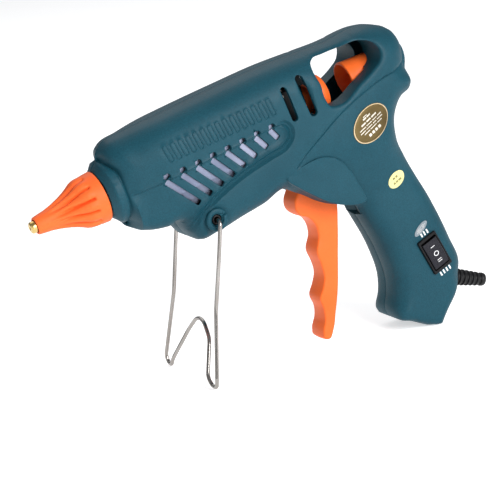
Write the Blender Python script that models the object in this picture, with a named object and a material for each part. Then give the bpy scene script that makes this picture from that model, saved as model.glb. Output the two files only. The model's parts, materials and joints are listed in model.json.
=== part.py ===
"""Hot-melt glue gun, 11 mm sticks, standing on its folding wire stand.

Everything is drawn in the gun's own frame, in millimetres: x runs back from the nozzle tip along
the glue stick, z runs up from the stick's axis, and y is the sideways direction, with the left
shell at negative y. WORLD then tips the gun nose-down on to its stand and turns it into metres.
"""
import bpy
import bmesh
import math
import numpy as np
from mathutils import Matrix, Vector
from mathutils.bvhtree import BVHTree
from mathutils.geometry import delaunay_2d_cdt

for old in list(bpy.data.objects):
    bpy.data.objects.remove(old, do_unlink=True)

# ---------------------------------------------------------------- driving dimensions, mm
MM = 0.001
GAP = 0.3                     # left between pieces that touch
WALL = 2.2                    # moulded wall of the two shells
BARREL_HALF = 22.0            # half width of the barrel
HANDLE_HALF = 15.5            # half width of the handle
NECK_R = 13.3                 # round front end of the shells, behind the nozzle cover
STEP = 6.4                    # spacing of the points along an outline
TRIGGER_PIVOT = (143.0, -32.0)
STAND_PIVOT = (82.5, -29.7)
CARRIAGE_BACK = 152.0         # rear of the feed carriage at rest
CARRIAGE_LENGTH = 18.0
SWITCH_CENTRE = (191.0, -99.5)
SWITCH_TURN = math.radians(-78.0)
RELIEF_START = (202.6, -121.8)
RELIEF_SLOPE = math.radians(-30.0)
RELIEF_LENGTH = 21.4
RELIEF_END_R = 3.6
FOOT = (50.3, -104.9)         # lowest stretch of the stand wire, at its centre line
WIRE_R = 1.0
HEEL = (184.0, -138.9)        # lower rear corner of the handle
HEEL_TRIM = 1.2               # cut off the heel, so that it rests on a flat face
FLUTES = 12                   # grooves round the nozzle cover
SHIELD_ENDS = (63.5, 131.0)   # front and rear edge of the heat shield
SHIELD_CLEAR = 2.9            # from the outside of the shells to the heat shield

# The tilt that lets the stand's feet and the handle's heel touch one surface.
TILT = math.atan2(FOOT[1] - WIRE_R - HEEL[1] - HEEL_TRIM, HEEL[0] - FOOT[0])


def across(x, z):
    """How far back a point of the gun lies once the gun stands."""
    return x * math.cos(TILT) - z * math.sin(TILT)


def level(x, z):
    """Height of a point of the gun over the nozzle tip once the gun stands."""
    return x * math.sin(TILT) + z * math.cos(TILT)


# The origin is on the surface, half way along the whole length, on the mid-plane.
FLOOR = level(*FOOT) - WIRE_R
FRONT = across(0.0, 2.5)
BACK = across(RELIEF_START[0] + RELIEF_LENGTH * math.cos(RELIEF_SLOPE),
              RELIEF_START[1] + RELIEF_LENGTH * math.sin(RELIEF_SLOPE)) \
    - RELIEF_END_R * math.sin(TILT + RELIEF_SLOPE)
WORLD = Matrix.Translation((-(FRONT + BACK) / 2 * MM, 0, -FLOOR * MM)) \
    @ Matrix.Rotation(-TILT, 4, 'Y')


# ---------------------------------------------------------------- materials
def material(name, colour, roughness, metallic=0.0):
    """A plain Principled material."""
    mat = bpy.data.materials.new(name)
    mat.use_nodes = True
    shader = mat.node_tree.nodes["Principled BSDF"]
    shader.inputs["Base Color"].default_value = (*colour, 1.0)
    shader.inputs["Roughness"].default_value = roughness
    shader.inputs["Metallic"].default_value = metallic
    return mat


TEAL = material("teal_nylon", (0.022, 0.090, 0.125), 0.5)
ORANGE = material("orange_nylon", (0.90, 0.19, 0.04), 0.4)
SILICONE = material("orange_silicone", (0.88, 0.17, 0.04), 0.5)
BRASS = material("brass", (0.78, 0.56, 0.24), 0.3, 1.0)
STEEL = material("bright_steel", (0.62, 0.61, 0.60), 0.25, 1.0)
ALUMINIUM = material("aluminium", (0.72, 0.73, 0.75), 0.35, 1.0)
BLACK = material("black_plastic", (0.012, 0.012, 0.013), 0.35)
RUBBER = material("black_rubber", (0.015, 0.015, 0.015), 0.6)
CERAMIC = material("white_ceramic", (0.80, 0.78, 0.72), 0.6)
GOLD_FOIL = material("bronze_foil", (0.20, 0.14, 0.06), 0.4, 0.5)
YELLOW_FOIL = material("pale_yellow_label", (0.80, 0.72, 0.35), 0.5)
GREY_FOIL = material("grey_label", (0.18, 0.21, 0.24), 0.5)
RED_WIRE = material("brown_lead", (0.20, 0.06, 0.03), 0.5)
BLUE_WIRE = material("blue_lead", (0.03, 0.10, 0.35), 0.5)


# ---------------------------------------------------------------- placing
def part(name, bm, mat, origin=(0.0, 0.0, 0.0), smooth=True):
    """Turns a mesh drawn in the gun's frame into an object whose origin is at the given point."""
    bmesh.ops.recalc_face_normals(bm, faces=bm.faces)
    shift = Matrix.Translation(origin)
    bmesh.ops.transform(bm, matrix=Matrix.Scale(MM, 4) @ shift.inverted(), verts=bm.verts)
    mesh = bpy.data.meshes.new(name)
    bm.to_mesh(mesh)
    bm.free()
    mesh.materials.append(mat)
    if smooth:
        mesh.shade_smooth()
        mesh.set_sharp_from_angle(angle=math.radians(35))
    obj = bpy.data.objects.new(name, mesh)
    bpy.context.collection.objects.link(obj)
    obj.matrix_world = WORLD @ Matrix.Translation(Vector(origin) * MM)
    return obj


def boolean(target, bm, operation='DIFFERENCE', name="tool"):
    """Cuts or adds a shape through a Boolean modifier."""
    tool = part(target.name + "_" + name, bm, BLACK, smooth=False)
    tool.hide_render = True
    tool.display_type = 'WIRE'
    mod = target.modifiers.new(name, 'BOOLEAN')
    mod.operation = operation
    mod.solver = 'EXACT'
    mod.object = tool


# ---------------------------------------------------------------- flat outlines
def curve_through(points, step=STEP):
    """Even points along a closed smooth curve through the given (x, z) points."""
    ring = [Vector(p) for p in points]
    fine = []
    count = len(ring)
    for i in range(count):
        a, b, c, d = (ring[(i + k) % count] for k in (-1, 0, 1, 2))
        span = max((c - b).length, 1e-6)
        before = max((b - a).length, 1e-6)
        after = max((d - c).length, 1e-6)
        m1 = (c - b) + ((b - a) / before - (c - a) / (before + span)) * span
        m2 = (c - b) + ((d - c) / after - (d - b) / (span + after)) * span
        for k in range(12):
            t = k / 12
            fine.append(b * (2 * t**3 - 3 * t**2 + 1) + m1 * (t**3 - 2 * t**2 + t)
                        + c * (3 * t**2 - 2 * t**3) + m2 * (t**3 - t**2))
    lengths = [0.0]
    for i, p in enumerate(fine):
        lengths.append(lengths[-1] + (fine[(i + 1) % len(fine)] - p).length)
    total = lengths[-1]
    wanted = max(8, round(total / step))
    out = []
    j = 0
    for i in range(wanted):
        s = total * i / wanted
        while lengths[j + 1] < s:
            j += 1
        f = (s - lengths[j]) / max(lengths[j + 1] - lengths[j], 1e-9)
        p = fine[j].lerp(fine[(j + 1) % len(fine)], f)
        out.append((p.x, p.y))
    return out


def slot_loop(start, end, width, segments=8):
    """Outline of a slot with round ends."""
    a, b = Vector(start), Vector(end)
    angle = math.atan2((b - a).y, (b - a).x)
    out = []
    for centre, first in ((b, angle - math.pi / 2), (a, angle + math.pi / 2)):
        for k in range(segments + 1):
            t = first + math.pi * k / segments
            out.append((centre.x + width / 2 * math.cos(t), centre.y + width / 2 * math.sin(t)))
    return out


def oval_loop(centre, half_long, half_short, turn, segments=28):
    """Outline of an oval whose long axis is turned from +x."""
    out = []
    for k in range(segments):
        t = math.tau * k / segments
        u, v = half_long * math.cos(t), half_short * math.sin(t)
        out.append((centre[0] + u * math.cos(turn) - v * math.sin(turn),
                    centre[1] + u * math.sin(turn) + v * math.cos(turn)))
    return out


def rectangle(centre, length, width, turn):
    """Corners of a turned rectangle."""
    out = []
    for su, sv in ((-1, -1), (1, -1), (1, 1), (-1, 1)):
        u, v = su * length / 2, sv * width / 2
        out.append((centre[0] + u * math.cos(turn) - v * math.sin(turn),
                    centre[1] + u * math.sin(turn) + v * math.cos(turn)))
    return out


# ---------------------------------------------------------------- simple solids
def prism(loop, y0, y1):
    """A flat outline pushed out from y0 to y1."""
    bm = bmesh.new()
    low = [bm.verts.new((x, y0, z)) for x, z in loop]
    high = [bm.verts.new((x, y1, z)) for x, z in loop]
    bm.faces.new(low)
    bm.faces.new(high)
    for i in range(len(loop)):
        j = (i + 1) % len(loop)
        bm.faces.new((low[i], low[j], high[j], high[i]))
    return bm


def lathe(profile, segments=24, at=(0.0, 0.0, 0.0), along=(1.0, 0.0, 0.0)):
    """A closed (distance, radius) profile turned about an axis."""
    bm = bmesh.new()
    axis = Vector(along).normalized()
    side = axis.cross(Vector((0, 1, 0)))
    if side.length < 0.1:
        side = axis.cross(Vector((0, 0, 1)))
    side.normalize()
    up = axis.cross(side)
    base = Vector(at)
    rings = []
    for s, r in profile:
        if r < 1e-6:
            rings.append([bm.verts.new(base + axis * s)] * segments)
            continue
        turn = [math.tau * k / segments for k in range(segments)]
        rings.append([bm.verts.new(base + axis * s + (side * math.cos(t) + up * math.sin(t)) * r)
                      for t in turn])
    for i in range(len(rings)):
        a, b = rings[i], rings[(i + 1) % len(rings)]
        if a[0] is a[1] and b[0] is b[1]:
            continue
        for k in range(segments):
            m = (k + 1) % segments
            quad = []
            for v in (a[k], a[m], b[m], b[k]):
                if v not in quad:
                    quad.append(v)
            bm.faces.new(quad)
    return bm


def rod(start, end, radius, segments=16):
    """A solid round bar between two points."""
    a, b = Vector(start), Vector(end)
    length = (b - a).length
    return lathe([(0, 0), (0, radius), (length, radius), (length, 0)], segments, a, b - a)


def box(x0, x1, y0, y1, z0, z1):
    """A box between two corners."""
    return prism([(x0, z0), (x1, z0), (x1, z1), (x0, z1)], y0, y1)


def tube_along(points, radius, segments=10):
    """A round bar swept along a list of 3-D points, with flat ends."""
    bm = bmesh.new()
    pts = [Vector(p) for p in points]
    normal = None
    rings = []
    for i, p in enumerate(pts):
        ahead = pts[min(i + 1, len(pts) - 1)] - p
        behind = p - pts[max(i - 1, 0)]
        tangent = ((ahead.normalized() if ahead.length else Vector())
                   + (behind.normalized() if behind.length else Vector())).normalized()
        if normal is None:
            normal = tangent.orthogonal().normalized()
        normal = (normal - tangent * normal.dot(tangent)).normalized()
        other = tangent.cross(normal)
        rings.append([bm.verts.new(p + (normal * math.cos(math.tau * k / segments)
                                        + other * math.sin(math.tau * k / segments)) * radius)
                      for k in range(segments)])
    for a, b in zip(rings, rings[1:]):
        for k in range(segments):
            m = (k + 1) % segments
            bm.faces.new((a[k], a[m], b[m], b[k]))
    bm.faces.new(rings[0])
    bm.faces.new(rings[-1])
    return bm


def rounded_path(points, radius=4.0, steps=5):
    """A polyline in space with its corners rounded."""
    pts = [Vector(p) for p in points]
    out = [pts[0]]
    for i in range(1, len(pts) - 1):
        before, after = pts[i - 1] - pts[i], pts[i + 1] - pts[i]
        cut = min(radius, before.length * 0.45, after.length * 0.45)
        a = pts[i] + before.normalized() * cut
        b = pts[i] + after.normalized() * cut
        for k in range(steps + 1):
            t = k / steps
            out.append(a.lerp(pts[i], t).lerp(pts[i].lerp(b, t), t))
    out.append(pts[-1])
    return out


# ---------------------------------------------------------------- the clamshell body
BODY_POINTS = [
    (38.4, 13.2), (41.2, 16.3), (43.4, 20.8), (47.8, 23.6), (59.0, 24.6), (85.0, 25.4),
    (117.0, 25.9), (140.0, 25.8), (172.0, 23.5), (202.0, 21.6), (210.4, 16.5), (213.8, 8.0),
    (213.0, 1.2), (212.2, -3.6), (210.6, -12.6), (208.2, -15.2), (202.2, -17.7), (196.1, -23.6),
    (193.4, -35.5), (194.8, -46.0), (201.8, -73.4), (205.6, -97.4), (206.6, -113.0),
    (204.8, -117.0), (199.4, -124.8), (195.4, -128.8), HEEL, (180.5, -138.0),
    (167.9, -129.4), (162.4, -125.6), (162.0, -122.6), (165.2, -112.0), (166.0, -106.0),
    (165.6, -89.4), (161.6, -66.5), (160.2, -60.4), (155.0, -56.8), (147.4, -52.9),
    (140.6, -47.8), (134.9, -42.2), (130.6, -38.0), (125.0, -33.9), (112.0, -36.0),
    (98.0, -37.2), (84.0, -38.9), (73.4, -38.0), (69.6, -33.0), (67.4, -26.6), (60.8, -26.0),
    (51.0, -23.4), (44.6, -18.6), (42.0, -15.2), (38.8, -12.8), (38.4, -7.0), (38.4, 0.0),
    (38.4, 7.0)]
WINDOW_POINTS = [
    (158.8, 19.6), (157.4, 16.0), (158.0, 9.0), (157.8, 2.0), (159.6, -3.0), (164.0, -4.3),
    (178.7, 0.8), (188.0, 4.2), (193.6, 7.4), (195.4, 11.4), (193.6, 16.4), (189.0, 19.2),
    (178.0, 20.2), (167.0, 20.8), (161.6, 20.9)]
PAD_POINTS = [
    (124.6, -26.6), (131.0, -25.0), (138.0, -24.2), (145.0, -24.5), (150.2, -26.6),
    (155.4, -31.0), (158.2, -37.0), (160.4, -46.0), (161.6, -55.2), (154.0, -55.0),
    (147.0, -51.2), (140.6, -46.4), (135.2, -40.8), (130.2, -35.2)]
BOSS_R = 5.6


def distance_to(loop, xs, zs):
    """Distance from points to a closed outline, and whether each lies inside it."""
    a = np.array(loop)
    b = np.roll(a, -1, axis=0)
    d = b - a
    px = np.asarray(xs)[:, None] - a[None, :, 0]
    pz = np.asarray(zs)[:, None] - a[None, :, 1]
    t = np.clip((px * d[:, 0] + pz * d[:, 1]) / (d ** 2).sum(1), 0, 1)
    dist = np.sqrt((px - t * d[:, 0]) ** 2 + (pz - t * d[:, 1]) ** 2).min(1)
    z = np.asarray(zs)[:, None]
    crosses = (a[:, 1] > z) != (b[:, 1] > z)
    rise = np.where(d[:, 1] == 0, 1e-12, d[:, 1])
    at = a[:, 0] + (z - a[:, 1]) * d[:, 0] / rise
    inside = (crosses & (np.asarray(xs)[:, None] < at)).sum(1) % 2 == 1
    return dist, inside


def ramp(v, a, b):
    """Smooth step from 0 at a to 1 at b."""
    t = np.clip((v - a) / (b - a), 0, 1)
    return t * t * (3 - 2 * t)


BODY_LOOP = curve_through(BODY_POINTS)
WINDOW_LOOP = curve_through(WINDOW_POINTS, 5.0)
PAD_LOOP = curve_through(PAD_POINTS, 6.5)
BOSS_LOOP = oval_loop(STAND_PIVOT, BOSS_R, BOSS_R, 0.0, 16)


def half_width(x, z):
    """Half width of the flat sides: the barrel is wide, the handle slim, the front narrow."""
    barrel = 17.2 + (BARREL_HALF - 17.2) * ramp(x, 46, 78)
    barrel = barrel - 3.0 * ramp(x, 165, 217)
    below = ramp(-z - 0.25 * (x - 150), 20, 52) * ramp(x, 128, 160)
    return barrel + (HANDLE_HALF - barrel) * below


def edge_round(x, z):
    """Rounding radius of the outline's edges."""
    radius = 17.0 - 5.0 * ramp(-z, 0, 12) - 2.0 * ramp(-z, 40, 60)
    radius = radius - 4.0 * ramp(-z, 4, 12) * (1 - ramp(x, 62, 76))
    return radius - 5.5 * ramp(-z, 116, 128)


def surface(x, z, inset=0.0):
    """Height of a shell over the mid-plane; inset gives the inside of the wall."""
    x, z = np.asarray(x, float), np.asarray(z, float)
    dist, _ = distance_to(BODY_LOOP, x, z)
    wide = half_width(x, z) - inset
    radius = edge_round(x, z) - inset
    t = np.clip((dist - inset) / radius, 0, 1)
    height = wide - radius * (1 - np.sqrt(1 - (1 - t) ** 2))
    neck = np.clip(NECK_R - inset + 3.3 * np.clip((x - 38.4) / 3.0, 0, 1), 1, None)
    ring = np.sqrt(np.clip(neck ** 2 - z ** 2, 0.04, None))
    joint = 46.2 - 3.2 * ramp(z, 10.0, 17.0)
    front = ramp(x, joint - 0.4, joint + 2.6)
    return height * front + ring * (1 - front)


def spread(loops, inner_spacing):
    """Points inside the first loop and outside the others, on offset rings and a coarse grid."""
    xs, zs = zip(*loops[0])
    candidates = []
    for loop in loops:
        count = len(loop)
        for i in range(count):
            a, b, c = Vector(loop[i - 1]), Vector(loop[i]), Vector(loop[(i + 1) % count])
            normal = Vector((-(c - a).y, (c - a).x)).normalized()
            for depth in (2.2, 6.5, 12.5):
                for sign in (-1, 1):
                    candidates.append((*(b + normal * depth * sign), depth))
    for x in np.arange(min(xs), max(xs), inner_spacing):
        for z in np.arange(min(zs), max(zs), inner_spacing):
            candidates.append((x, z, inner_spacing * 0.6))
    c = np.array(candidates)
    keep = np.ones(len(c), bool)
    nearest = np.full(len(c), 1e9)
    for k, loop in enumerate(loops):
        dist, inside = distance_to(loop, c[:, 0], c[:, 1])
        keep &= inside if k == 0 else ~inside
        nearest = np.minimum(nearest, dist)
    keep &= nearest > c[:, 2] * 0.93
    chosen = []
    for x, z, depth in c[keep]:
        room = {2.2: 3.6, 6.5: 5.2, 12.5: 7.0}.get(depth, inner_spacing * 0.62)
        if all((x - u) ** 2 + (z - v) ** 2 > room ** 2 for u, v in chosen):
            chosen.append((float(x), float(z)))
    return chosen


def fill(loops, extra):
    """Triangles between the first loop and the others, through the extra points."""
    points, edges = [], []
    for loop in loops:
        base = len(points)
        points += [Vector(p) for p in loop]
        edges += [(base + i, base + (i + 1) % len(loop)) for i in range(len(loop))]
    points += [Vector(p) for p in extra]
    verts, _, faces, _, _, _ = delaunay_2d_cdt(points, edges, [], 0, 1e-5)
    middles = [sum((verts[i] for i in f), Vector((0, 0))) / len(f) for f in faces]
    mx, mz = [m.x for m in middles], [m.y for m in middles]
    keep = np.ones(len(faces), bool)
    for k, loop in enumerate(loops):
        inside = distance_to(loop, mx, mz)[1]
        keep &= inside if k == 0 else ~inside
    return [(v.x, v.y) for v in verts], [f for f, good in zip(faces, keep) if good]


def offset_loop(loop, amounts):
    """A loop moved sideways, each point by its own amount; positive moves it inwards."""
    area = sum(a[0] * b[1] - b[0] * a[1] for a, b in zip(loop, loop[1:] + loop[:1]))
    sign = 1 if area > 0 else -1
    out = []
    count = len(loop)
    for i in range(count):
        a, c = Vector(loop[i - 1]), Vector(loop[(i + 1) % count])
        normal = Vector((-(c - a).y, (c - a).x)).normalized() * sign
        p = Vector(loop[i]) + normal * float(amounts[i])
        out.append((p.x, p.y))
    dist, inside = distance_to(loop, [p[0] for p in out], [p[1] for p in out])
    amounts = np.asarray(amounts)
    good = (dist > np.abs(amounts) * 0.9) & (inside == (amounts > 0))
    return [p for p, ok in zip(out, good) if ok]


def cavity_loops():
    """Outlines of the hollow: the wall round the window thins out under the narrow roof bar."""
    room, _ = distance_to(BODY_LOOP, *zip(*WINDOW_LOOP))
    round_window = -np.minimum(WALL, (room - WALL) * 0.5)
    return [offset_loop(BODY_LOOP, np.full(len(BODY_LOOP), WALL)),
            offset_loop(WINDOW_LOOP, round_window)]


def skin(bm, loops, extra, height, side):
    """Adds one triangulated sheet; returns the vertices of each loop."""
    points, faces = fill(loops, extra)
    heights = height(np.array([p[0] for p in points]), np.array([p[1] for p in points]))
    verts = [bm.verts.new((p[0], side * max(h, GAP / 2), p[1])) for p, h in zip(points, heights)]
    for f in faces:
        bm.faces.new([verts[i] for i in f])
    out, base = [], 0
    for loop in loops:
        out.append(verts[base:base + len(loop)])
        base += len(loop)
    return out


def wall(bm, first, second):
    """Joins two rings of the same number of vertices."""
    count = len(first)
    for i in range(count):
        j = (i + 1) % count
        bm.faces.new((first[i], first[j], second[j], second[i]))


def shell(name, side):
    """One moulded half: outer skin, inner skin, rims on the mid-plane and the walls between."""
    bm = bmesh.new()
    outer = [BODY_LOOP, WINDOW_LOOP]
    inner = cavity_loops()
    rounded = 2.0

    def outside(x, z):
        dist, _ = distance_to(WINDOW_LOOP, x, z)
        t = np.clip(dist / rounded, 0, 1)
        return surface(x, z) - rounded * (1 - np.sqrt(1 - (1 - t) ** 2))

    top = skin(bm, outer, spread(outer, 15.0), outside, side)
    low = skin(bm, inner, spread(inner, 18.0), lambda x, z: surface(x, z, WALL), side)
    flat = lambda x, z: np.full(len(x), GAP / 2)
    for k in (0, 1):
        pair = [outer[k], inner[k]] if k == 0 else [inner[k], outer[k]]
        rim = skin(bm, pair, [], flat, side)
        edge, lip = (rim[0], rim[1]) if k == 0 else (rim[1], rim[0])
        wall(bm, edge, top[k])
        wall(bm, lip, low[k])
    bmesh.ops.triangulate(bm, faces=[f for f in bm.faces if len(f.verts) > 3])
    return part(name, bm, TEAL)


SCREWS = [(53.0, 17.4), (101.0, -30.2), (137.0, 18.8), (202.0, -12.0), (187.0, -48.0),
          (174.0, -124.0)]
VENTS = [((66.9 + 8.4 * i, -3.8 + 0.22 * i), (77.6 + 7.1 * i, -18.4 + 1.78 * i))
         for i in range(8)]
LONG_SLOTS = [((138.0, 14.4), (138.7, -0.3), 3.4), ((148.2, 16.0), (149.2, -1.6), 4.1)]


def mesh_height(obj, side):
    """A function giving how far an object's faces stand from the mid-plane round a point."""
    bm = bmesh.new()
    bm.from_mesh(obj.data)
    tree = BVHTree.FromBMesh(bm)
    bm.free()

    def height(x, z, reach=0.0, pick=max):
        around = ((0, 0), (reach, 0), (-reach, 0), (0, reach), (0, -reach))
        return pick(abs(tree.ray_cast(Vector((x + u, side * 60, z + v)) * MM,
                                      Vector((0, -side, 0)))[0].y) for u, v in around) / MM

    return height


def cut_shell(obj, side):
    """Openings of one half, and the raised pad, stand boss and screw bosses on it."""
    height = mesh_height(obj, side)

    def through(loop, low, high, name, operation='DIFFERENCE'):
        a, b = sorted((side * low, side * high))
        boolean(obj, prism(loop, a, b), operation, name)

    through(PAD_LOOP, 10.0, 21.4, "pad", 'UNION')
    through(BOSS_LOOP, 12.0, 22.6, "boss", 'UNION')
    for i, (x, z) in enumerate(SCREWS):
        top = height(x, z, 3.2, min) - 1.0
        through(oval_loop((x, z), 3.2, 3.2, 0.0, 8), GAP / 2, top, "post%d" % i, 'UNION')
    boolean(obj, lathe([(30, 0), (30, 9.6), (44, 9.6), (44, 0)], 20), name="neck_bore")
    stick_way = [(150, 0), (150, 7.0), (159.2, 7.0), (159.2, 10.9), (189, 10.9), (189, 9.2),
                 (230, 9.2), (230, 0)]
    boolean(obj, lathe(stick_way, 20), name="stick_way")
    slit = [(128.6, -30.0), (162.0, -44.0), (163.5, -66.0), (150.0, -66.0), (126.0, -44.0)]
    boolean(obj, prism(slit, -6.8, 6.8), name="trigger_slit")
    through(oval_loop(STAND_PIVOT, 2.7, 2.7, 0.0, 16), 8.0, 26.0, "stand_hole")
    for i, (a, b) in enumerate(VENTS):
        through(slot_loop(a, b, 3.0, 3), 12.0, 26.0, "vent%d" % i)
    for i, (a, b, w) in enumerate(LONG_SLOTS):
        through(slot_loop(a, b, w, 3), 12.0, 26.0, "slot%d" % i)
    a = Vector((RELIEF_START[0], 0, RELIEF_START[1]))
    along = Vector((math.cos(RELIEF_SLOPE), 0, math.sin(RELIEF_SLOPE)))
    boolean(obj, rod(a - along * 9, a + along * 9, 4.0), name="cord_hole")
    down = Vector((-math.sin(TILT), -math.cos(TILT)))
    ahead = Vector((math.cos(TILT), -math.sin(TILT)))
    corner = down * -FLOOR + ahead * across(*HEEL)
    below = [corner + ahead * u + down * v for u, v in ((-30, 0), (30, 0), (30, 20), (-30, 20))]
    boolean(obj, prism([tuple(p) for p in below], -30, 30), name="heel_flat")
    if side < 0:
        opening = rectangle(SWITCH_CENTRE, 17.2, 10.6, SWITCH_TURN)
        through(opening, 5.0, 20.0, "switch_hole")
    else:
        for i, (x, z) in enumerate(SCREWS):
            face = height(x, z)
            through(oval_loop((x, z), 1.7, 1.7, 0.0, 8), -1.0, face + 3, "screw_hole%d" % i)
            through(oval_loop((x, z), 3.0, 3.0, 0.0, 10), face - 3.0, face + 3, "screw_seat%d" % i)


# ---------------------------------------------------------------- nozzle end
def nozzle():
    """Brass nozzle: a conical tip, a hexagon inside the cover, and the thread behind it."""
    bm = lathe([(0, 0.9), (0, 2.5), (0.5, 2.9), (3.0, 3.0), (11.0, 3.6), (14.0, 5.2), (21.0, 5.2),
                (21.0, 4.0), (34.0, 4.0), (34.0, 1.6), (12.0, 1.6)], 24)
    return part("nozzle", bm, BRASS)


def nozzle_cover():
    """Fluted silicone sleeve over the nozzle."""
    outer = [(2.8, 4.4), (9.0, 5.3), (19.0, 7.8), (24.6, 10.3), (28.8, 12.3), (31.0, 12.6),
             (37.6, 13.0)]
    inner = [(37.6, 10.2), (27.0, 8.6), (21.6, 5.7), (13.6, 5.7), (10.4, 3.95), (2.8, 3.4)]

    def flute(angle, s):
        depth = 0.055 * math.sin(math.pi * min(max((s - 6.0) / 23.0, 0), 1))
        return 1 - depth * (1 - math.cos(FLUTES * angle)) / 2

    bm = bmesh.new()
    rings = []
    for index, (s, r) in enumerate(outer + inner):
        ring = []
        for k in range(FLUTES * 3):
            t = math.tau * k / (FLUTES * 3)
            at = r * (flute(t, s) if index < len(outer) else 1.0)
            ring.append(bm.verts.new((s, at * math.cos(t), at * math.sin(t))))
        rings.append(ring)
    for i in range(len(rings)):
        wall(bm, rings[i], rings[(i + 1) % len(rings)])
    return part("nozzle_cover", bm, SILICONE)


# ---------------------------------------------------------------- heating section
def heat_shield():
    """Formed sheet sleeve just inside the vented walls of the shells."""
    top, bottom, sheet = 17.0, -21.6, 0.6
    levels = [14.0, 10.0, 5.0, 0.0, -6.0, -11.0, -15.5, -19.0]
    rings = []
    bm = bmesh.new()
    stations = np.linspace(*SHIELD_ENDS, 9)
    for row in (0.0, sheet):
        for x in stations if row == 0.0 else stations[::-1]:
            side = []
            for z in levels:
                clear = SHIELD_CLEAR + 1.2 * ramp(z, 4, 12) + 1.5 * ramp(-z, 11, 20) + row
                side.append((float(surface([x], [z], clear)[0]), z))
            half = [(side[0][0] - 3.5, top - row)] + side + [(side[-1][0] - 3.0, bottom + row)]
            loop = half + [(-y, z) for y, z in reversed(half)]
            rings.append([bm.verts.new((x, y, z)) for y, z in loop])
    for i in range(len(rings)):
        wall(bm, rings[i], rings[(i + 1) % len(rings)])
    part("heat_shield", bm, ALUMINIUM)


def heating_section():
    """Melt chamber with its insulator, heaters, shield, fuse and inlet sleeve."""
    bm = lathe([(32.0, 4.4), (32.0, 9.0), (44.0, 9.0), (46.0, 10.0), (104.0, 10.0),
                (104.0, 6.3), (56.0, 6.3), (42.0, 4.4)], 24)
    part("melt_chamber", bm, ALUMINIUM)
    bm = lathe([(57.0, 10.3), (57.0, 13.8), (62.0, 13.8), (62.0, 10.3)], 24)
    part("front_insulator", bm, CERAMIC)
    bm = lathe([(98.0, 10.3), (98.0, 13.8), (103.0, 13.8), (103.0, 10.3)], 24)
    part("rear_insulator", bm, CERAMIC)
    part("heater_upper", box(64, 96, -6, 6, 10.3, 13.1), CERAMIC, smooth=False)
    part("heater_lower", box(64, 96, -6, 6, -13.1, -10.3), CERAMIC, smooth=False)
    heat_shield()
    bm = lathe([(104.4, 6.0), (104.4, 8.6), (118.0, 8.6), (120.0, 7.2), (120.0, 6.0)], 24)
    part("inlet_sleeve", bm, SILICONE)
    part("thermal_fuse", rod((68, -11.6, 5.0), (80, -11.6, 5.0), 1.6, 12), STEEL)
    bm = lathe([(152.8, 6.0), (152.8, 8.6), (155.0, 8.6), (155.0, 6.7), (159.4, 6.7),
                (159.6, 10.4), (163.8, 10.3), (166.2, 9.0), (166.8, 7.8), (166.4, 6.2)], 24)
    part("inlet_collar", bm, ORANGE)


# ---------------------------------------------------------------- feed mechanism
def feed():
    """Sliding carriage with its gripping jaw, worked by the trigger's upper arm."""
    x0, x1 = CARRIAGE_BACK - CARRIAGE_LENGTH, CARRIAGE_BACK
    carriage = part("feed_carriage", box(x0, x1, -9.6, 9.6, -10.4, 10.4), BLACK, smooth=False)
    boolean(carriage, lathe([(x0 - 5, 0), (x0 - 5, 6.2), (x1 + 5, 6.2), (x1 + 5, 0)]), name="bore")
    boolean(carriage, box(x0 + 4.0, x1 - 3.4, -4.4, 4.4, 4.0, 12.0), name="jaw_well")
    boolean(carriage, box(x0 + 8.4, x0 + 15.4, -3.6, 3.6, -12.0, -6.0), name="arm_well")
    hinge = (x0 + 7.0, 0.0, 8.6)
    jaw = [(x0 + 4.6, 7.0), (x0 + 9.6, 7.0), (x0 + 13.8, 6.5), (x0 + 14.0, 8.2),
           (x0 + 10.0, 10.6), (x0 + 4.6, 10.6)]
    clamp = part("clamp_jaw", prism(jaw, -3.8, 3.8), STEEL, hinge, smooth=False)
    boolean(clamp, rod((hinge[0], -8, hinge[2]), (hinge[0], 8, hinge[2]), 1.3, 12), name="eye")
    boolean(carriage, rod((hinge[0], -12, hinge[2]), (hinge[0], 12, hinge[2]), 1.25, 12),
            name="pin_hole")
    part("jaw_pin", rod((hinge[0], -9.4, hinge[2]), (hinge[0], 9.4, hinge[2]), 0.95, 12), STEEL)
    coil = []
    for k in range(8 * 5 + 1):
        t = math.tau * k / 8
        coil.append((125.0 - 4.0 * k / 40, 8.0 * math.cos(t), 8.0 * math.sin(t)))
    part("carriage_spring", tube_along(coil, 0.4, 6), STEEL)


TRIGGER_POINTS = [
    (133.4, -40.6), (130.4, -44.6), (129.5, -48.4), (130.9, -52.2), (134.4, -54.9),
    (137.0, -59.4), (136.9, -66.2), (132.8, -74.4), (133.2, -80.4), (132.6, -87.6),
    (130.0, -92.4), (126.4, -97.2), (126.6, -103.2), (125.4, -108.4), (121.9, -114.6),
    (121.4, -117.8), (124.2, -119.3), (128.2, -115.2), (132.2, -107.6), (136.8, -98.2),
    (143.8, -79.6), (149.2, -64.6), (152.2, -54.8), (152.6, -46.0), (150.4, -36.0),
    (147.8, -29.4), (143.0, -26.8), (138.4, -29.0), (136.4, -35.0)]


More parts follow.
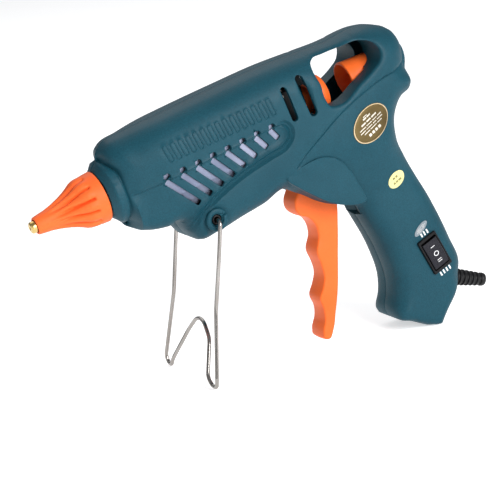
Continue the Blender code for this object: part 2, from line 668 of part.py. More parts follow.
def trigger():
    """Finger trigger; its upper arm reaches into the carriage."""
    x, z = TRIGGER_PIVOT
    obj = part("trigger", prism(curve_through(TRIGGER_POINTS, 4.2), -5.9, 5.9), ORANGE,
               (x, 0.0, z))
    bevel = obj.modifiers.new("soft_edges", 'BEVEL')
    bevel.width = 1.0 * MM
    bevel.segments = 2
    bevel.limit_method = 'ANGLE'
    bevel.angle_limit = math.radians(60)
    arm = [(x + 1.0, -8.0), (x + 4.0, -8.0), (x + 4.4, z + 3.0), (x + 2.0, z - 4.0),
           (x - 3.0, z - 2.0), (x - 2.4, z + 4.0)]
    boolean(obj, prism(arm, -2.8, 2.8), 'UNION', "arm")
    boolean(obj, rod((x, -9, z), (x, 9, z), 2.3), name="eye")
    part("trigger_pivot", rod((x, -9.7, z), (x, 9.7, z), 1.95, 12), STEEL)
    turns, pitch, radius = 2, 1.1, 2.9
    coil = [(x + radius * math.cos(math.tau * k / 8), 7.0 + pitch * k / 8,
             z + radius * math.sin(math.tau * k / 8)) for k in range(8 * turns - 1)]
    coil = [(x + 9, coil[0][1], z - 7)] + coil
    part("trigger_spring", tube_along(coil, 0.4, 6), STEEL)


# ---------------------------------------------------------------- rear guide
def guide_tube():
    """Rear stick guide with a flared mouth that looks forward into the window."""
    bm = lathe([(180.0, 8.8), (180.0, 10.0), (182.0, 10.2), (188.0, 8.9), (211.0, 8.6),
                (211.4, 8.0), (211.4, 6.6), (190.0, 6.6), (184.0, 7.4)], 28)
    part("guide_tube", bm, ORANGE)


# ---------------------------------------------------------------- stand
def stand():
    """Folding wire stand with an M-shaped lower end, and the bushes it turns in."""
    px, pz = STAND_PIVOT
    left = [(px, -15.0, pz), (px, -25.6, pz), (76.1, -26.0, -44.3), (64.9, -25.4, -69.8),
            (50.8, -31.0, -101.2), (50.3, -29.0, -104.9), (50.0, -24.6, -104.6),
            (50.4, -21.4, -100.8), (61.2, -12.4, -86.6), (64.0, -5.0, -80.6)]
    right = [(x, -y, z) for x, y, z in reversed(left)]
    path = rounded_path(left + [(64.6, 0.0, -79.4)] + right, 3.0, 2)
    part("wire_stand", tube_along(path, WIRE_R, 8), STEEL, (px, 0.0, pz))
    for name, side in (("stand_bush_left", -1), ("stand_bush_right", 1)):
        profile = [(13.6, 1.4), (13.6, 2.35), (21.8, 2.35), (21.8, 1.4)]
        part(name, lathe(profile, 16, (px, 0, pz), (0, side, 0)), BLACK)


# ---------------------------------------------------------------- switch and mains side
def in_switch(points, y0, y1):
    """A prism drawn in the switch's own plane: u along its length, v across."""
    cu, su = math.cos(SWITCH_TURN), math.sin(SWITCH_TURN)
    loop = [(SWITCH_CENTRE[0] + u * cu - v * su, SWITCH_CENTRE[1] + u * su + v * cu)
            for u, v in points]
    return prism(loop, y0, y1)


def switch():
    """Three-position rocker switch set in the left side of the handle."""
    def rect(half_u, half_v):
        return [(-half_u, -half_v), (half_u, -half_v), (half_u, half_v), (-half_u, half_v)]

    frame = part("switch_frame", in_switch(rect(9.7, 5.6), -16.9, -15.8), BLACK, smooth=False)
    boolean(frame, in_switch(rect(8.2, 4.9), -16.6, -3.5), 'UNION', "body")
    boolean(frame, in_switch(rect(7.6, 4.3), -18.0, -10.5), name="well")
    cu, su = math.cos(SWITCH_TURN), math.sin(SWITCH_TURN)
    axis_y = -13.2
    bm = bmesh.new()
    profile = [(-6.7, -17.7), (-3.5, -17.9), (0, -18.0), (3.5, -17.9), (6.7, -17.7),
               (6.0, -13.6), (2.0, -11.6), (-2.0, -11.6), (-6.0, -13.6)]
    low, high = [], []
    for u, y in profile:
        for v, row in ((-4.0, low), (4.0, high)):
            row.append(bm.verts.new((SWITCH_CENTRE[0] + u * cu - v * su, y,
                                     SWITCH_CENTRE[1] + u * su + v * cu)))
    bm.faces.new(low)
    bm.faces.new(high)
    wall(bm, low, high)
    part("rocker", bm, BLACK, (SWITCH_CENTRE[0], axis_y, SWITCH_CENTRE[1]), smooth=False)
    for i, u in enumerate((-5.0, 0.0, 5.0)):
        blade = [(u - 0.4, -2.2), (u + 0.4, -2.2), (u + 0.4, 2.2), (u - 0.4, 2.2)]
        part("switch_terminal_%d" % (i + 1), in_switch(blade, -3.2, 3.0), BRASS, smooth=False)


def mains_side():
    """Strain relief, cord clamp, diode and the two leads up to the heating section."""
    a = Vector((RELIEF_START[0], 0, RELIEF_START[1]))
    along = Vector((math.cos(RELIEF_SLOPE), 0, math.sin(RELIEF_SLOPE)))
    profile = [(-7.0, 0), (-7.0, 5.2), (-4.6, 5.2), (-4.6, 3.7), (5.2, 3.7), (5.2, 4.6)]
    ribs = 4
    for k in range(ribs):
        s = 7.4 + 3.3 * k
        r = 4.5 - 0.22 * k
        profile += [(s, r), (s, r - 0.9), (s + 1.1, r - 0.95), (s + 1.1, r - 0.15)]
    profile += [(RELIEF_LENGTH, RELIEF_END_R), (RELIEF_LENGTH, 0)]
    part("strain_relief", lathe(profile, 18, a, along), RUBBER)
    part("cord_clamp", box(181, 193, -4.0, 4.0, -118.0, -114.6), BLACK, smooth=False)
    part("clamp_screw", rod((187.0, 0, -121.6), (187.0, 0, -118.3), 1.6, 12), STEEL)
    part("diode", rod((175.2, 1.0, -90.0), (175.2, 8.0, -90.0), 2.0, 12), BLACK)
    live = [(180, 7.5, -112), (180, 8, -96), (179, 7.5, -70), (175, 8, -50), (170, 12, -34),
            (150, 14.6, -18), (133, 14.2, -12), (124, 14.0, -4)]
    neutral = [(184, 7.5, -110), (184, 8, -96), (183, 7.5, -70), (179, 8, -50), (173, 12, -28),
               (152, 14.6, -13), (134, 14.4, -6), (124, 14.2, 2)]
    part("live_lead", tube_along(rounded_path(live, 5.0, 2), 0.9, 6), RED_WIRE)
    part("neutral_lead", tube_along(rounded_path(neutral, 5.0, 2), 0.9, 6), BLUE_WIRE)


def plates(host):
    """Oval labels lying on the left shell."""
    height = mesh_height(host, -1)

    for name, centre, half_long, half_short, turn, mat in (
            ("rating_label", (176.8, -19.8), 11.6, 8.4, math.radians(24), GOLD_FOIL),
            ("check_label", (183.2, -54.2), 5.2, 3.9, math.radians(30), YELLOW_FOIL),
            ("wattage_label", (187.9, -84.4), 5.0, 1.9, math.radians(30), GREY_FOIL)):
        loops = [oval_loop(centre, half_long * f, half_short * f, turn, 18) for f in (1.0, 0.6)]
        bm = bmesh.new()
        edges = []
        for lift in (GAP, GAP + 0.25):
            rings = [[bm.verts.new((x, -height(x, z, 1.3) - lift, z)) for x, z in loop]
                     for loop in loops]
            wall(bm, rings[0], rings[1])
            tip = bm.verts.new((centre[0], -height(*centre, 1.3) - lift, centre[1]))
            for i in range(len(rings[1])):
                bm.faces.new((rings[1][i], rings[1][(i + 1) % len(rings[1])], tip))
            edges.append(rings[0])
        wall(bm, edges[0], edges[1])
        part(name, bm, mat)


def screws(host):
    """Case screws, driven from the right-hand side."""
    height = mesh_height(host, 1)
    for i, (x, z) in enumerate(SCREWS):
        face = height(x, z)
        head = face - 2.6
        profile = [(0.5, 0), (0.5, 1.3), (head, 1.3), (head, 2.6), (head + 1.2, 2.6),
                   (head + 1.6, 1.8), (head + 1.6, 0)]
        part("case_screw_%d" % (i + 1), lathe(profile, 12, (x, 0, z), (0, 1, 0)), STEEL)


left = shell("left_shell", -1)
cut_shell(left, -1)
right = shell("right_shell", 1)
cut_shell(right, 1)
nozzle()
nozzle_cover()
heating_section()
feed()
trigger()
guide_tube()
stand()
switch()
mains_side()
plates(left)
screws(right)
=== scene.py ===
"""The looks of the glue gun: moulded shells, fluted cover, trigger, wire stand, switch and labels.

Shapes are drawn in the gun's own frame, in millimetres: x runs back from the nozzle tip along the
glue stick, z up from the stick's axis, and y sideways, with the left shell at negative y. GUN puts
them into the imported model's frame.
"""
import json
import math
import bmesh
import bpy
import numpy as np
from mathutils import Matrix, Vector
from mathutils.geometry import delaunay_2d_cdt
from mathutils.kdtree import KDTree


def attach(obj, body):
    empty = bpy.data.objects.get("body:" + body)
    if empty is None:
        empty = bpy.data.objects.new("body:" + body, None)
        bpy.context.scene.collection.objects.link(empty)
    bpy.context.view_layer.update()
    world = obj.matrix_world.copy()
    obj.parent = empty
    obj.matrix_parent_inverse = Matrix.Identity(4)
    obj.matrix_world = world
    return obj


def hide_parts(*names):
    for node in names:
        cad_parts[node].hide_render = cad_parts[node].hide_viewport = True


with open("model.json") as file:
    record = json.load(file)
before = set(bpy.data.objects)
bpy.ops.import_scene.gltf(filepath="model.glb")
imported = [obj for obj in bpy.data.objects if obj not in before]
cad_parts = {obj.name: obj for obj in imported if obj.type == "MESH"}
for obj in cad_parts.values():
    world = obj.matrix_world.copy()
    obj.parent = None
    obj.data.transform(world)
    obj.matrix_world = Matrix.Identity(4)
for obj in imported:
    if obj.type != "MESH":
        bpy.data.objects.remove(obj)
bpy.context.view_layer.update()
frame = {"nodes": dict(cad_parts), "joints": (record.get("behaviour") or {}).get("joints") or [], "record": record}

# ---------------------------------------------------------------- camera
CAMERA_TARGET = (0.09128, -0.0469, -0.02164)      # from the nozzle tip
CAMERA_DISTANCE = 0.970
CAMERA_AZIMUTH = math.radians(-24.438)
CAMERA_ELEVATION = math.radians(13.337)
CAMERA_ROLL = math.radians(-6.711)
CAMERA_LENS = 147.0


def seen_from(azimuth, elevation):
    """Unit vector towards a viewer or lamp; azimuth 0 is the gun's left side."""
    return Vector((math.sin(azimuth) * math.cos(elevation), -math.cos(azimuth) * math.cos(elevation),
                   math.sin(elevation)))


def camera():
    """The camera, on the gun's left side and turned a little towards the nozzle."""
    back = seen_from(CAMERA_AZIMUTH, CAMERA_ELEVATION)
    right = Vector((math.cos(CAMERA_AZIMUTH), math.sin(CAMERA_AZIMUTH), 0.0))
    up = back.cross(right)
    turn = Matrix((right, up, back)).transposed() @ Matrix.Rotation(CAMERA_ROLL, 3, 'Z')
    data = bpy.data.cameras.new("camera")
    data.lens = CAMERA_LENS
    data.sensor_width = 36.0
    obj = bpy.data.objects.new("camera", data)
    bpy.context.scene.collection.objects.link(obj)
    tip = next(m["pos_m"] for m in frame["record"]["mounts"] if m["name"] == "nozzle_end")
    place = Vector(tip) + Vector(CAMERA_TARGET) + back * CAMERA_DISTANCE
    obj.matrix_world = Matrix.Translation(place) @ turn.to_4x4()
    bpy.context.scene.camera = obj


camera()

# ---------------------------------------------------------------- the gun's frame
MM = 0.001
MOUNTS = {m["name"]: m for m in frame["record"]["mounts"]}
JOINTS = {j["name"]: j for j in frame["joints"]}
BEHIND = -Vector(JOINTS["carriage_feed"]["axis"])
SIDEWAYS = Vector((0, 1, 0))
TIP = Vector(MOUNTS["nozzle_end"]["pos_m"])
GUN = Matrix.Translation(TIP) \
    @ Matrix((BEHIND, SIDEWAYS, BEHIND.cross(SIDEWAYS))).transposed().to_4x4() \
    @ Matrix.Scale(MM, 4)


def in_gun(point):
    """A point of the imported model, in the gun's own frame."""
    return GUN.inverted() @ Vector(point)


def node_span(node, axis):
    """Lowest and highest reach of a CAD node along one of the gun's own axes."""
    inverse = GUN.inverted()
    values = [(inverse @ v.co)[axis] for v in frame["nodes"][node].data.vertices]
    return min(values), max(values)


GAP = 0.3
WALL = 2.2
SEAM = 0.12
NECK_R = 13.3
TRIGGER_PIVOT = in_gun(JOINTS["trigger_pull"]["pos_m"])
STAND_PIVOT = in_gun(JOINTS["stand_fold"]["pos_m"])
SWITCH = in_gun(JOINTS["rocker_tilt"]["pos_m"])
SWITCH_TURN = math.radians(-78.0)
RELIEF_SLOPE = math.radians(-30.0)
RELIEF_LENGTH = 21.4
CORD_EXIT = in_gun(MOUNTS["cord_exit"]["pos_m"])
RELIEF_ALONG = Vector((math.cos(RELIEF_SLOPE), 0, math.sin(RELIEF_SLOPE)))
RELIEF_START = CORD_EXIT - RELIEF_ALONG * RELIEF_LENGTH


# ---------------------------------------------------------------- materials
class Nodes:
    """Small helper to write a node material line by line."""

    def __init__(self, name):
        self.mat = bpy.data.materials.new(name)
        self.mat.use_nodes = True
        self.tree = self.mat.node_tree
        self.shader = self.tree.nodes["Principled BSDF"]
        self.where = self.add("ShaderNodeTexCoord").outputs["Object"]

    def add(self, kind, **settings):
        node = self.tree.nodes.new(kind)
        for key, value in settings.items():
            setattr(node, key, value)
        return node

    def link(self, source, target):
        self.tree.links.new(source, target)

    def noise(self, scale, detail=2.0, roughness=0.5, stretch=None):
        node = self.add("ShaderNodeTexNoise")
        node.inputs["Scale"].default_value = scale
        node.inputs["Detail"].default_value = detail
        node.inputs["Roughness"].default_value = roughness
        where = self.where
        if stretch:
            mapping = self.add("ShaderNodeMapping")
            mapping.inputs["Scale"].default_value = stretch
            self.link(where, mapping.inputs["Vector"])
            where = mapping.outputs["Vector"]
        self.link(where, node.inputs["Vector"])
        return node.outputs["Fac"]

    def ramp(self, source, stops):
        node = self.add("ShaderNodeValToRGB")
        elements = node.color_ramp.elements
        while len(elements) < len(stops):
            elements.new(0.5)
        for element, (place, colour) in zip(elements, stops):
            element.position = place
            element.color = (*colour, 1.0)
        self.link(source, node.inputs["Fac"])
        return node.outputs["Color"]

    def span(self, source, low, high, start=0.3, end=0.7):
        node = self.add("ShaderNodeMapRange")
        for key, value in (("From Min", start), ("From Max", end), ("To Min", low), ("To Max", high)):
            node.inputs[key].default_value = value
        self.link(source, node.inputs["Value"])
        return node.outputs["Result"]

    def mix(self, factor, first, second, blend='MIX'):
        node = self.add("ShaderNodeMix", data_type='RGBA', blend_type=blend)
        self.link(factor, node.inputs["Factor"])
        for value, socket in ((first, node.inputs[6]), (second, node.inputs[7])):
            if isinstance(value, tuple):
                socket.default_value = (*value, 1.0)
            else:
                self.link(value, socket)
        return node.outputs[2]

    def bump(self, source, distance, strength=1.0, after=None):
        node = self.add("ShaderNodeBump")
        node.inputs["Distance"].default_value = distance
        node.inputs["Strength"].default_value = strength
        self.link(source, node.inputs["Height"])
        if after:
            self.link(after, node.inputs["Normal"])
        return node.outputs["Normal"]


def moulded(name, dark, light, rough, grain=0.0, grain_scale=1500.0, cloud=26.0, specular=0.4,
            mottle=0.03):
    """Moulded plastic: a slow drift of colour, spark-eroded grain and uneven gloss."""
    n = Nodes(name)
    drift = n.noise(cloud, 3.0, 0.6)
    fine = n.noise(grain_scale, 3.0, 0.65)
    colour = n.ramp(drift, [(0.32, dark), (0.68, light)])
    low, high = 1.0 - mottle, 1.0 + mottle
    speck = n.ramp(fine, [(0.34, (low, low, low)), (0.66, (high, high, high))])
    n.link(n.mix(n.span(fine, 1.0, 1.0), colour, speck, 'MULTIPLY'), n.shader.inputs["Base Color"])
    n.link(n.span(fine, rough - 0.07, rough + 0.09), n.shader.inputs["Roughness"])
    n.shader.inputs["Specular IOR Level"].default_value = specular
    if grain:
        normal = n.bump(n.noise(240.0, 2.0), 0.00005, 0.5)
        n.link(n.bump(fine, grain, 0.9, normal), n.shader.inputs["Normal"])
    return n.mat


def metal(name, dark, light, rough, streak=None, scale=300.0, bump=0.0):
    """Bare metal with drawn or turned streaks and uneven polish."""
    n = Nodes(name)
    fine = n.noise(scale, 4.0, 0.6, streak)
    broad = n.noise(45.0, 2.0)
    tint = n.ramp(broad, [(0.3, dark), (0.7, light)])
    n.link(tint, n.shader.inputs["Base Color"])
    n.shader.inputs["Metallic"].default_value = 1.0
    n.link(n.span(fine, rough * 0.75, rough * 1.35), n.shader.inputs["Roughness"])
    if bump:
        n.link(n.bump(fine, bump, 0.6), n.shader.inputs["Normal"])
    return n.mat


TEAL = moulded("teal_plastic", (0.0052, 0.0480, 0.0700), (0.0082, 0.0590, 0.0840), 0.46, 0.00012,
               1500.0, 26.0, 0.17, 0.16)
ORANGE = moulded("orange_plastic", (0.80, 0.125, 0.020), (0.86, 0.145, 0.024), 0.40, 0.00001, 900.0,
                 14.0, 0.22)
SILICONE = moulded("orange_silicone", (0.84, 0.125, 0.022), (0.90, 0.145, 0.028), 0.5, 0.00002,
                   1100.0, 14.0, 0.22)
BLACK = moulded("black_plastic", (0.004, 0.004, 0.005), (0.008, 0.008, 0.009), 0.36, 0.00003, 1700.0,
                26.0, 0.18)
ROCKER_BLACK = moulded("rocker_plastic", (0.006, 0.006, 0.010), (0.011, 0.011, 0.017), 0.28, 0.00001,
                       1500.0, 26.0, 0.25)
RUBBER = moulded("black_rubber", (0.005, 0.005, 0.006), (0.010, 0.010, 0.011), 0.4, 0.00003, 1300.0,
                 26.0, 0.25)
CERAMIC = moulded("white_ceramic", (0.62, 0.60, 0.54), (0.78, 0.76, 0.70), 0.6, 0.00004, 900.0)
BROWN = moulded("brown_lead", (0.12, 0.035, 0.018), (0.19, 0.06, 0.03), 0.42, 0.00001)
BLUE = moulded("blue_lead", (0.02, 0.08, 0.32), (0.03, 0.11, 0.40), 0.42, 0.00001)
WHITE = moulded("white_print", (0.78, 0.79, 0.80), (0.88, 0.88, 0.88), 0.5, 0.00001)
STEEL = metal("bright_steel", (0.46, 0.44, 0.42), (0.58, 0.57, 0.56), 0.26, (1.0, 1.0, 8.0))
WIRE = metal("stand_wire", (0.29, 0.27, 0.25), (0.42, 0.40, 0.38), 0.16, (6.0, 6.0, 0.5), 500.0, 0.00001)
SHIELD = metal("shield_sheet", (0.13, 0.15, 0.22), (0.27, 0.29, 0.38), 0.42, (1.0, 1.0, 14.0), 420.0,
               0.00002)
ALUMINIUM = metal("cast_aluminium", (0.55, 0.56, 0.58), (0.70, 0.71, 0.73), 0.42, None, 700.0, 0.00004)
BRASS = metal("brass", (0.60, 0.42, 0.14), (0.80, 0.62, 0.28), 0.2, (9.0, 1.0, 1.0), 350.0, 0.00002)


# ---------------------------------------------------------------- outlines
def curve_through(points, step, closed=True):
    """Even points along a smooth curve through the given (x, z) points."""
    ring = [Vector(p) for p in points]
    count = len(ring)
    fine = []
    for i in range(count if closed else count - 1):
        picks = [(i + k) % count if closed else min(max(i + k, 0), count - 1) for k in (-1, 0, 1, 2)]
        a, b, c, d = (ring[k] for k in picks)
        span = max((c - b).length, 1e-6)
        before = max((b - a).length, 1e-6)
        after = max((d - c).length, 1e-6)
        m1 = (c - b) + ((b - a) / before - (c - a) / (before + span)) * span
        m2 = (c - b) + ((d - c) / after - (d - b) / (span + after)) * span
        for k in range(12):
            t = k / 12
            fine.append(b * (2 * t**3 - 3 * t**2 + 1) + m1 * (t**3 - 2 * t**2 + t)
                        + c * (3 * t**2 - 2 * t**3) + m2 * (t**3 - t**2))
    fine.append(ring[0] if closed else ring[-1])
    lengths = np.concatenate([[0], np.cumsum([(b - a).length for a, b in zip(fine, fine[1:])])])
    wanted = max(8, round(lengths[-1] / step))
    at = np.linspace(0, lengths[-1], wanted + 1)
    if closed:
        at = at[:-1]
    xs = np.interp(at, lengths, [p.x for p in fine])
    zs = np.interp(at, lengths, [p.y for p in fine])
    return [(float(x), float(z)) for x, z in zip(xs, zs)]


def slot_loop(start, end, width, segments=10):
    """Outline of a slot with round ends."""
    a, b = Vector(start), Vector(end)
    angle = math.atan2((b - a).y, (b - a).x)
    out = []
    for centre, first in ((b, angle - math.pi / 2), (a, angle + math.pi / 2)):
        for k in range(segments + 1):
            t = first + math.pi * k / segments
            out.append((centre.x + width / 2 * math.cos(t), centre.y + width / 2 * math.sin(t)))
    return out


def oval_loop(centre, half_long, half_short, turn, segments=64):
    """Outline of an oval whose long axis is turned from +x."""
    out = []
    for k in range(segments):
        t = math.tau * k / segments
        u, v = half_long * math.cos(t), half_short * math.sin(t)
        out.append((centre[0] + u * math.cos(turn) - v * math.sin(turn),
                    centre[1] + u * math.sin(turn) + v * math.cos(turn)))
    return out


def round_box(centre, length, width, turn, corner, segments=5):
    """Outline of a turned rectangle with round corners."""
    out = []
    for quarter, (su, sv) in enumerate(((1, 1), (-1, 1), (-1, -1), (1, -1))):
        for k in range(segments + 1):
            t = math.pi / 2 * (quarter + k / segments)
            u = su * (length / 2 - corner) + corner * math.cos(t)
            v = sv * (width / 2 - corner) + corner * math.sin(t)
            out.append((centre[0] + u * math.cos(turn) - v * math.sin(turn),
                        centre[1] + u * math.sin(turn) + v * math.cos(turn)))
    return out


def denser(loop, step, closed=True):
    """A polyline with points added, so that no side is longer than the step."""
    out = []
    ends = loop[1:] + loop[:1] if closed else loop[1:]
    for a, b in zip(loop, ends):
        parts = max(1, math.ceil(math.dist(a, b) / step))
        out += [(a[0] + (b[0] - a[0]) * k / parts, a[1] + (b[1] - a[1]) * k / parts)
                for k in range(parts)]
    return out if closed else out + [loop[-1]]


def distance_to(loop, xs, zs, closed=True):
    """Distance from points to an outline, and whether each lies inside it."""
    a = np.array(loop)
    b = np.roll(a, -1, axis=0)
    if not closed:
        a, b = a[:-1], b[:-1]
    d = b - a
    xs, zs = np.asarray(xs, float), np.asarray(zs, float)
    dist, inside = np.empty(len(xs)), np.empty(len(xs), bool)
    chunk = 3000
    for first in range(0, len(xs), chunk):
        px, pz = xs[first:first + chunk, None], zs[first:first + chunk, None]
        u, v = px - a[:, 0], pz - a[:, 1]
        t = np.clip((u * d[:, 0] + v * d[:, 1]) / np.maximum((d ** 2).sum(1), 1e-12), 0, 1)
        dist[first:first + chunk] = np.sqrt((u - t * d[:, 0]) ** 2 + (v - t * d[:, 1]) ** 2).min(1)
        crosses = (a[:, 1] > pz) != (b[:, 1] > pz)
        rise = np.where(d[:, 1] == 0, 1e-12, d[:, 1])
        at = a[:, 0] + v * d[:, 0] / rise
        inside[first:first + chunk] = (crosses & (px < at)).sum(1) % 2 == 1
    return dist, inside


def signed(loop, x, z):
    """Distance to a closed outline, positive inside it."""
    dist, inside = distance_to(loop, x, z)
    return np.where(inside, dist, -dist)


def ramp(v, a, b):
    """Smooth step from 0 at a to 1 at b."""
    t = np.clip((v - a) / (b - a), 0, 1)
    return t * t * (3 - 2 * t)


def hump(v, middle, width):
    """A smooth bell of height 1."""
    return np.exp(-((v - middle) / width) ** 2)


def winding(loop):
    """1 for an outline that runs anticlockwise, -1 for one that runs clockwise."""
    area = sum(a[0] * b[1] - b[0] * a[1] for a, b in zip(loop, loop[1:] + loop[:1]))
    return 1 if area > 0 else -1


def moved_in(loop, amount):
    """A closed outline moved inwards, keeping every one of its points."""
    sign = winding(loop)
    out = []
    for i, p in enumerate(loop):
        tangent = Vector(loop[(i + 1) % len(loop)]) - Vector(loop[i - 1])
        normal = Vector((-tangent.y, tangent.x)).normalized() * sign
        out.append((p[0] + normal.x * amount, p[1] + normal.y * amount))
    return out


def offset_loop(loop, amount, closed=True):
    """An outline moved sideways; positive moves a closed one inwards."""
    sign = winding(loop) if closed else 1
    count = len(loop)
    out = []
    for i in range(count):
        before = loop[i - 1] if closed or i else loop[0]
        after = loop[(i + 1) % count] if closed or i < count - 1 else loop[-1]
        tangent = Vector(after) - Vector(before)
        normal = Vector((-tangent.y, tangent.x)).normalized() * sign
        p = Vector(loop[i]) + normal * amount
        out.append((p.x, p.y))
    dist, inside = distance_to(loop, [p[0] for p in out], [p[1] for p in out], closed)
    good = dist > abs(amount) * 0.93
    if closed:
        good &= inside == (amount > 0)
    return [p for p, ok in zip(out, good) if ok]


# ---------------------------------------------------------------- the shells' shape
BODY_POINTS = [
    (38.4, 13.2), (41.2, 16.1), (43.6, 20.4), (47.8, 23.6), (59.0, 24.6), (85.0, 25.4),
    (117.0, 25.6), (140.0, 25.4), (158.0, 24.2), (172.0, 23.1), (202.0, 21.6), (210.2, 16.5),
    (213.2, 8.0), (212.4, 1.2), (211.3, -3.6), (210.6, -12.6), (208.2, -15.4), (202.0, -17.5),
    (196.1, -23.6), (192.9, -35.5), (194.8, -46.0), (201.8, -73.4), (205.6, -97.4), (206.6, -113.0),
    (204.8, -117.0), (199.8, -124.4), (195.0, -128.8), (189.6, -133.4), (185.0, -137.9),
    (184.0, -138.9), (180.5, -137.7), (167.9, -129.2), (162.4, -125.6), (161.6, -122.6),
    (165.4, -112.0), (167.0, -106.0), (166.8, -89.4), (162.3, -66.5), (160.9, -60.0),
    (155.0, -56.8), (147.4, -52.9), (140.6, -47.8), (134.9, -42.2), (130.6, -38.6),
    (125.0, -33.9), (112.0, -36.0), (98.0, -37.2), (84.0, -38.6), (73.4, -38.0), (70.4, -32.6),
    (67.8, -25.6), (60.8, -25.6), (51.0, -23.0), (44.6, -18.6), (42.6, -14.6), (39.6, -12.2),
    (38.4, -7.0), (38.4, 0.0), (38.4, 7.0)]
WINDOW_POINTS = [
    (158.8, 19.6), (157.4, 16.0), (158.0, 9.0), (157.8, 2.0), (159.6, -3.0), (164.0, -4.3),
    (178.7, 0.8), (188.0, 4.2), (193.6, 7.4), (195.4, 11.4), (193.6, 16.4), (189.0, 19.2),
    (178.0, 20.2), (167.0, 20.8), (161.6, 20.9)]
FAR_WINDOW_POINTS = [
    (158.8, 19.6), (157.4, 16.0), (158.0, 9.0), (157.8, 2.0), (159.6, -3.0), (164.0, -4.3),
    (176.0, 0.0), (184.0, 3.6), (188.8, 7.0), (190.4, 11.4), (188.6, 16.6), (184.0, 19.2),
    (176.0, 20.2), (167.0, 20.8), (161.6, 20.9)]
PAD_POINTS = [
    (124.6, -26.6), (131.0, -25.0), (138.0, -24.2), (145.0, -24.5), (150.2, -26.6),
    (155.4, -31.0), (158.2, -37.0), (160.6, -46.0), (162.0, -54.2), (162.1, -55.4), (160.8, -55.8),
    (154.0, -54.6),
    (147.0, -51.2), (140.6, -46.4), (135.2, -40.8), (130.2, -35.2)]
RIDGE_POINTS = [(46.0, -2.4), (63.0, -2.0), (85.0, -1.2), (108.0, -0.7), (128.7, -0.2)]
PANEL_END_POINTS = [(132.6, -1.0), (134.6, -4.4), (133.6, -8.0), (130.0, -10.9), (119.7, -12.6),
                    (105.0, -14.6), (93.3, -17.4), (81.8, -21.5), (73.4, -26.8), (69.0, -31.5)]
FLOW_POINTS = [(214.0, 1.4), (202.0, -0.9), (189.9, -1.7), (176.9, -4.2), (163.4, -8.2),
               (149.0, -14.7), (138.1, -20.2), (131.3, -24.2)]

BODY = curve_through(BODY_POINTS, 1.1)
WINDOWS = {-1: curve_through(WINDOW_POINTS, 0.9), 1: curve_through(FAR_WINDOW_POINTS, 0.9)}
PAD = curve_through(PAD_POINTS, 1.0)
RIDGE = curve_through(RIDGE_POINTS, 1.2, False)
PANEL = curve_through(RIDGE_POINTS + PANEL_END_POINTS, 1.2, False) + [(62.0, -44.0), (34.0, -44.0),
                                                                      (34.0, -2.6)]
FLOW = curve_through(FLOW_POINTS, 1.2, False)
PANEL_DEPTH = 1.7
VENT_WIDTH = 2.9
VENTS = [((66.3 + 8.4 * i, -3.0 + 0.22 * i), (77.6 + 7.1 * i, -18.4 + 1.78 * i)) for i in range(8)]
CAPS = [(66.6 + 8.42 * i, 0.1 + 0.08 * i) for i in range(8)]
LONG_SLOTS = [((138.0, 14.4), (138.7, -0.3), 3.4), ((148.2, 16.0), (149.2, -1.6), 4.1)]
BOSS = (STAND_PIVOT.x, STAND_PIVOT.z)
BOSS_R = 5.6
BOSS_TOP = 22.6
PAD_TOP = 21.4
FRAME_COUNT = 15
SCREWS = []
for number in range(1, 7):
    low, high = node_span("case_screw_%d" % number, 0)
    floor_z, ceiling_z = node_span("case_screw_%d" % number, 2)
    SCREWS.append(((low + high) / 2, (floor_z + ceiling_z) / 2))


def vent_axes(i):
    """Unit vectors along and across one vent."""
    a, b = Vector(VENTS[i][0]), Vector(VENTS[i][1])
    along = (b - a).normalized()
    return along, Vector((-along.y, along.x))


def vent_outline(i):
    """One vent below the ridge: a flat upper end and rounded lower corners."""
    along, side = vent_axes(i)
    a, b = Vector(VENTS[i][0]), Vector(VENTS[i][1])
    centre = (a + b) / 2
    return round_box(centre, (b - a).length + 1.2, VENT_WIDTH, math.atan2(along.y, along.x), 0.7)


def cap_outline(i):
    """The short opening above the ridge, in line with its vent."""
    lean = math.radians(-64.0)
    return round_box(CAPS[i], 2.5, VENT_WIDTH + 0.3, lean, 0.8)


def bridge_outline(i):
    """The dip across the ridge between the two openings of one vent."""
    middle = (Vector(CAPS[i]) + Vector(VENTS[i][0])) / 2
    reach = Vector(VENTS[i][0]) - Vector(CAPS[i])
    return round_box(middle, reach.length + 2.6, VENT_WIDTH + 0.2, math.atan2(reach.y, reach.x), 0.5)


def tread_frame(i):
    """One of the plain raised frames along the barrel."""
    share = i / (FRAME_COUNT - 1)
    centre = (71.0 + 57.5 * share, 10.4 - 0.6 * share)
    return round_box(centre, 8.6, 2.3, math.radians(-82.0), 0.9, 3)


TREAD = [tread_frame(i) for i in range(FRAME_COUNT)]


def half_width(x, z):
    """Half width of the flat sides: the barrel is wide, the handle slim, the front narrow."""
    barrel = 17.2 + 4.8 * ramp(x, 46, 78)
    barrel = barrel - 3.0 * ramp(x, 165, 217)
    below = ramp(-z - 0.25 * (x - 150), 20, 52) * ramp(x, 128, 160)
    return barrel + (15.5 - barrel) * below


def edge_round(x, z):
    """Rounding radius of the outline's edges."""
    radius = 17.0 - 5.0 * ramp(-z, 0, 12) - 2.0 * ramp(-z, 40, 60)
    radius = radius - 4.0 * ramp(-z, 4, 12) * (1 - ramp(x, 62, 76))
    return radius - 5.5 * ramp(-z, 116, 128)


def neck_joint(z):
    """How far back the round neck meets the barrel, at each height."""
    return 46.2 - 3.2 * ramp(z, 10.0, 17.0)


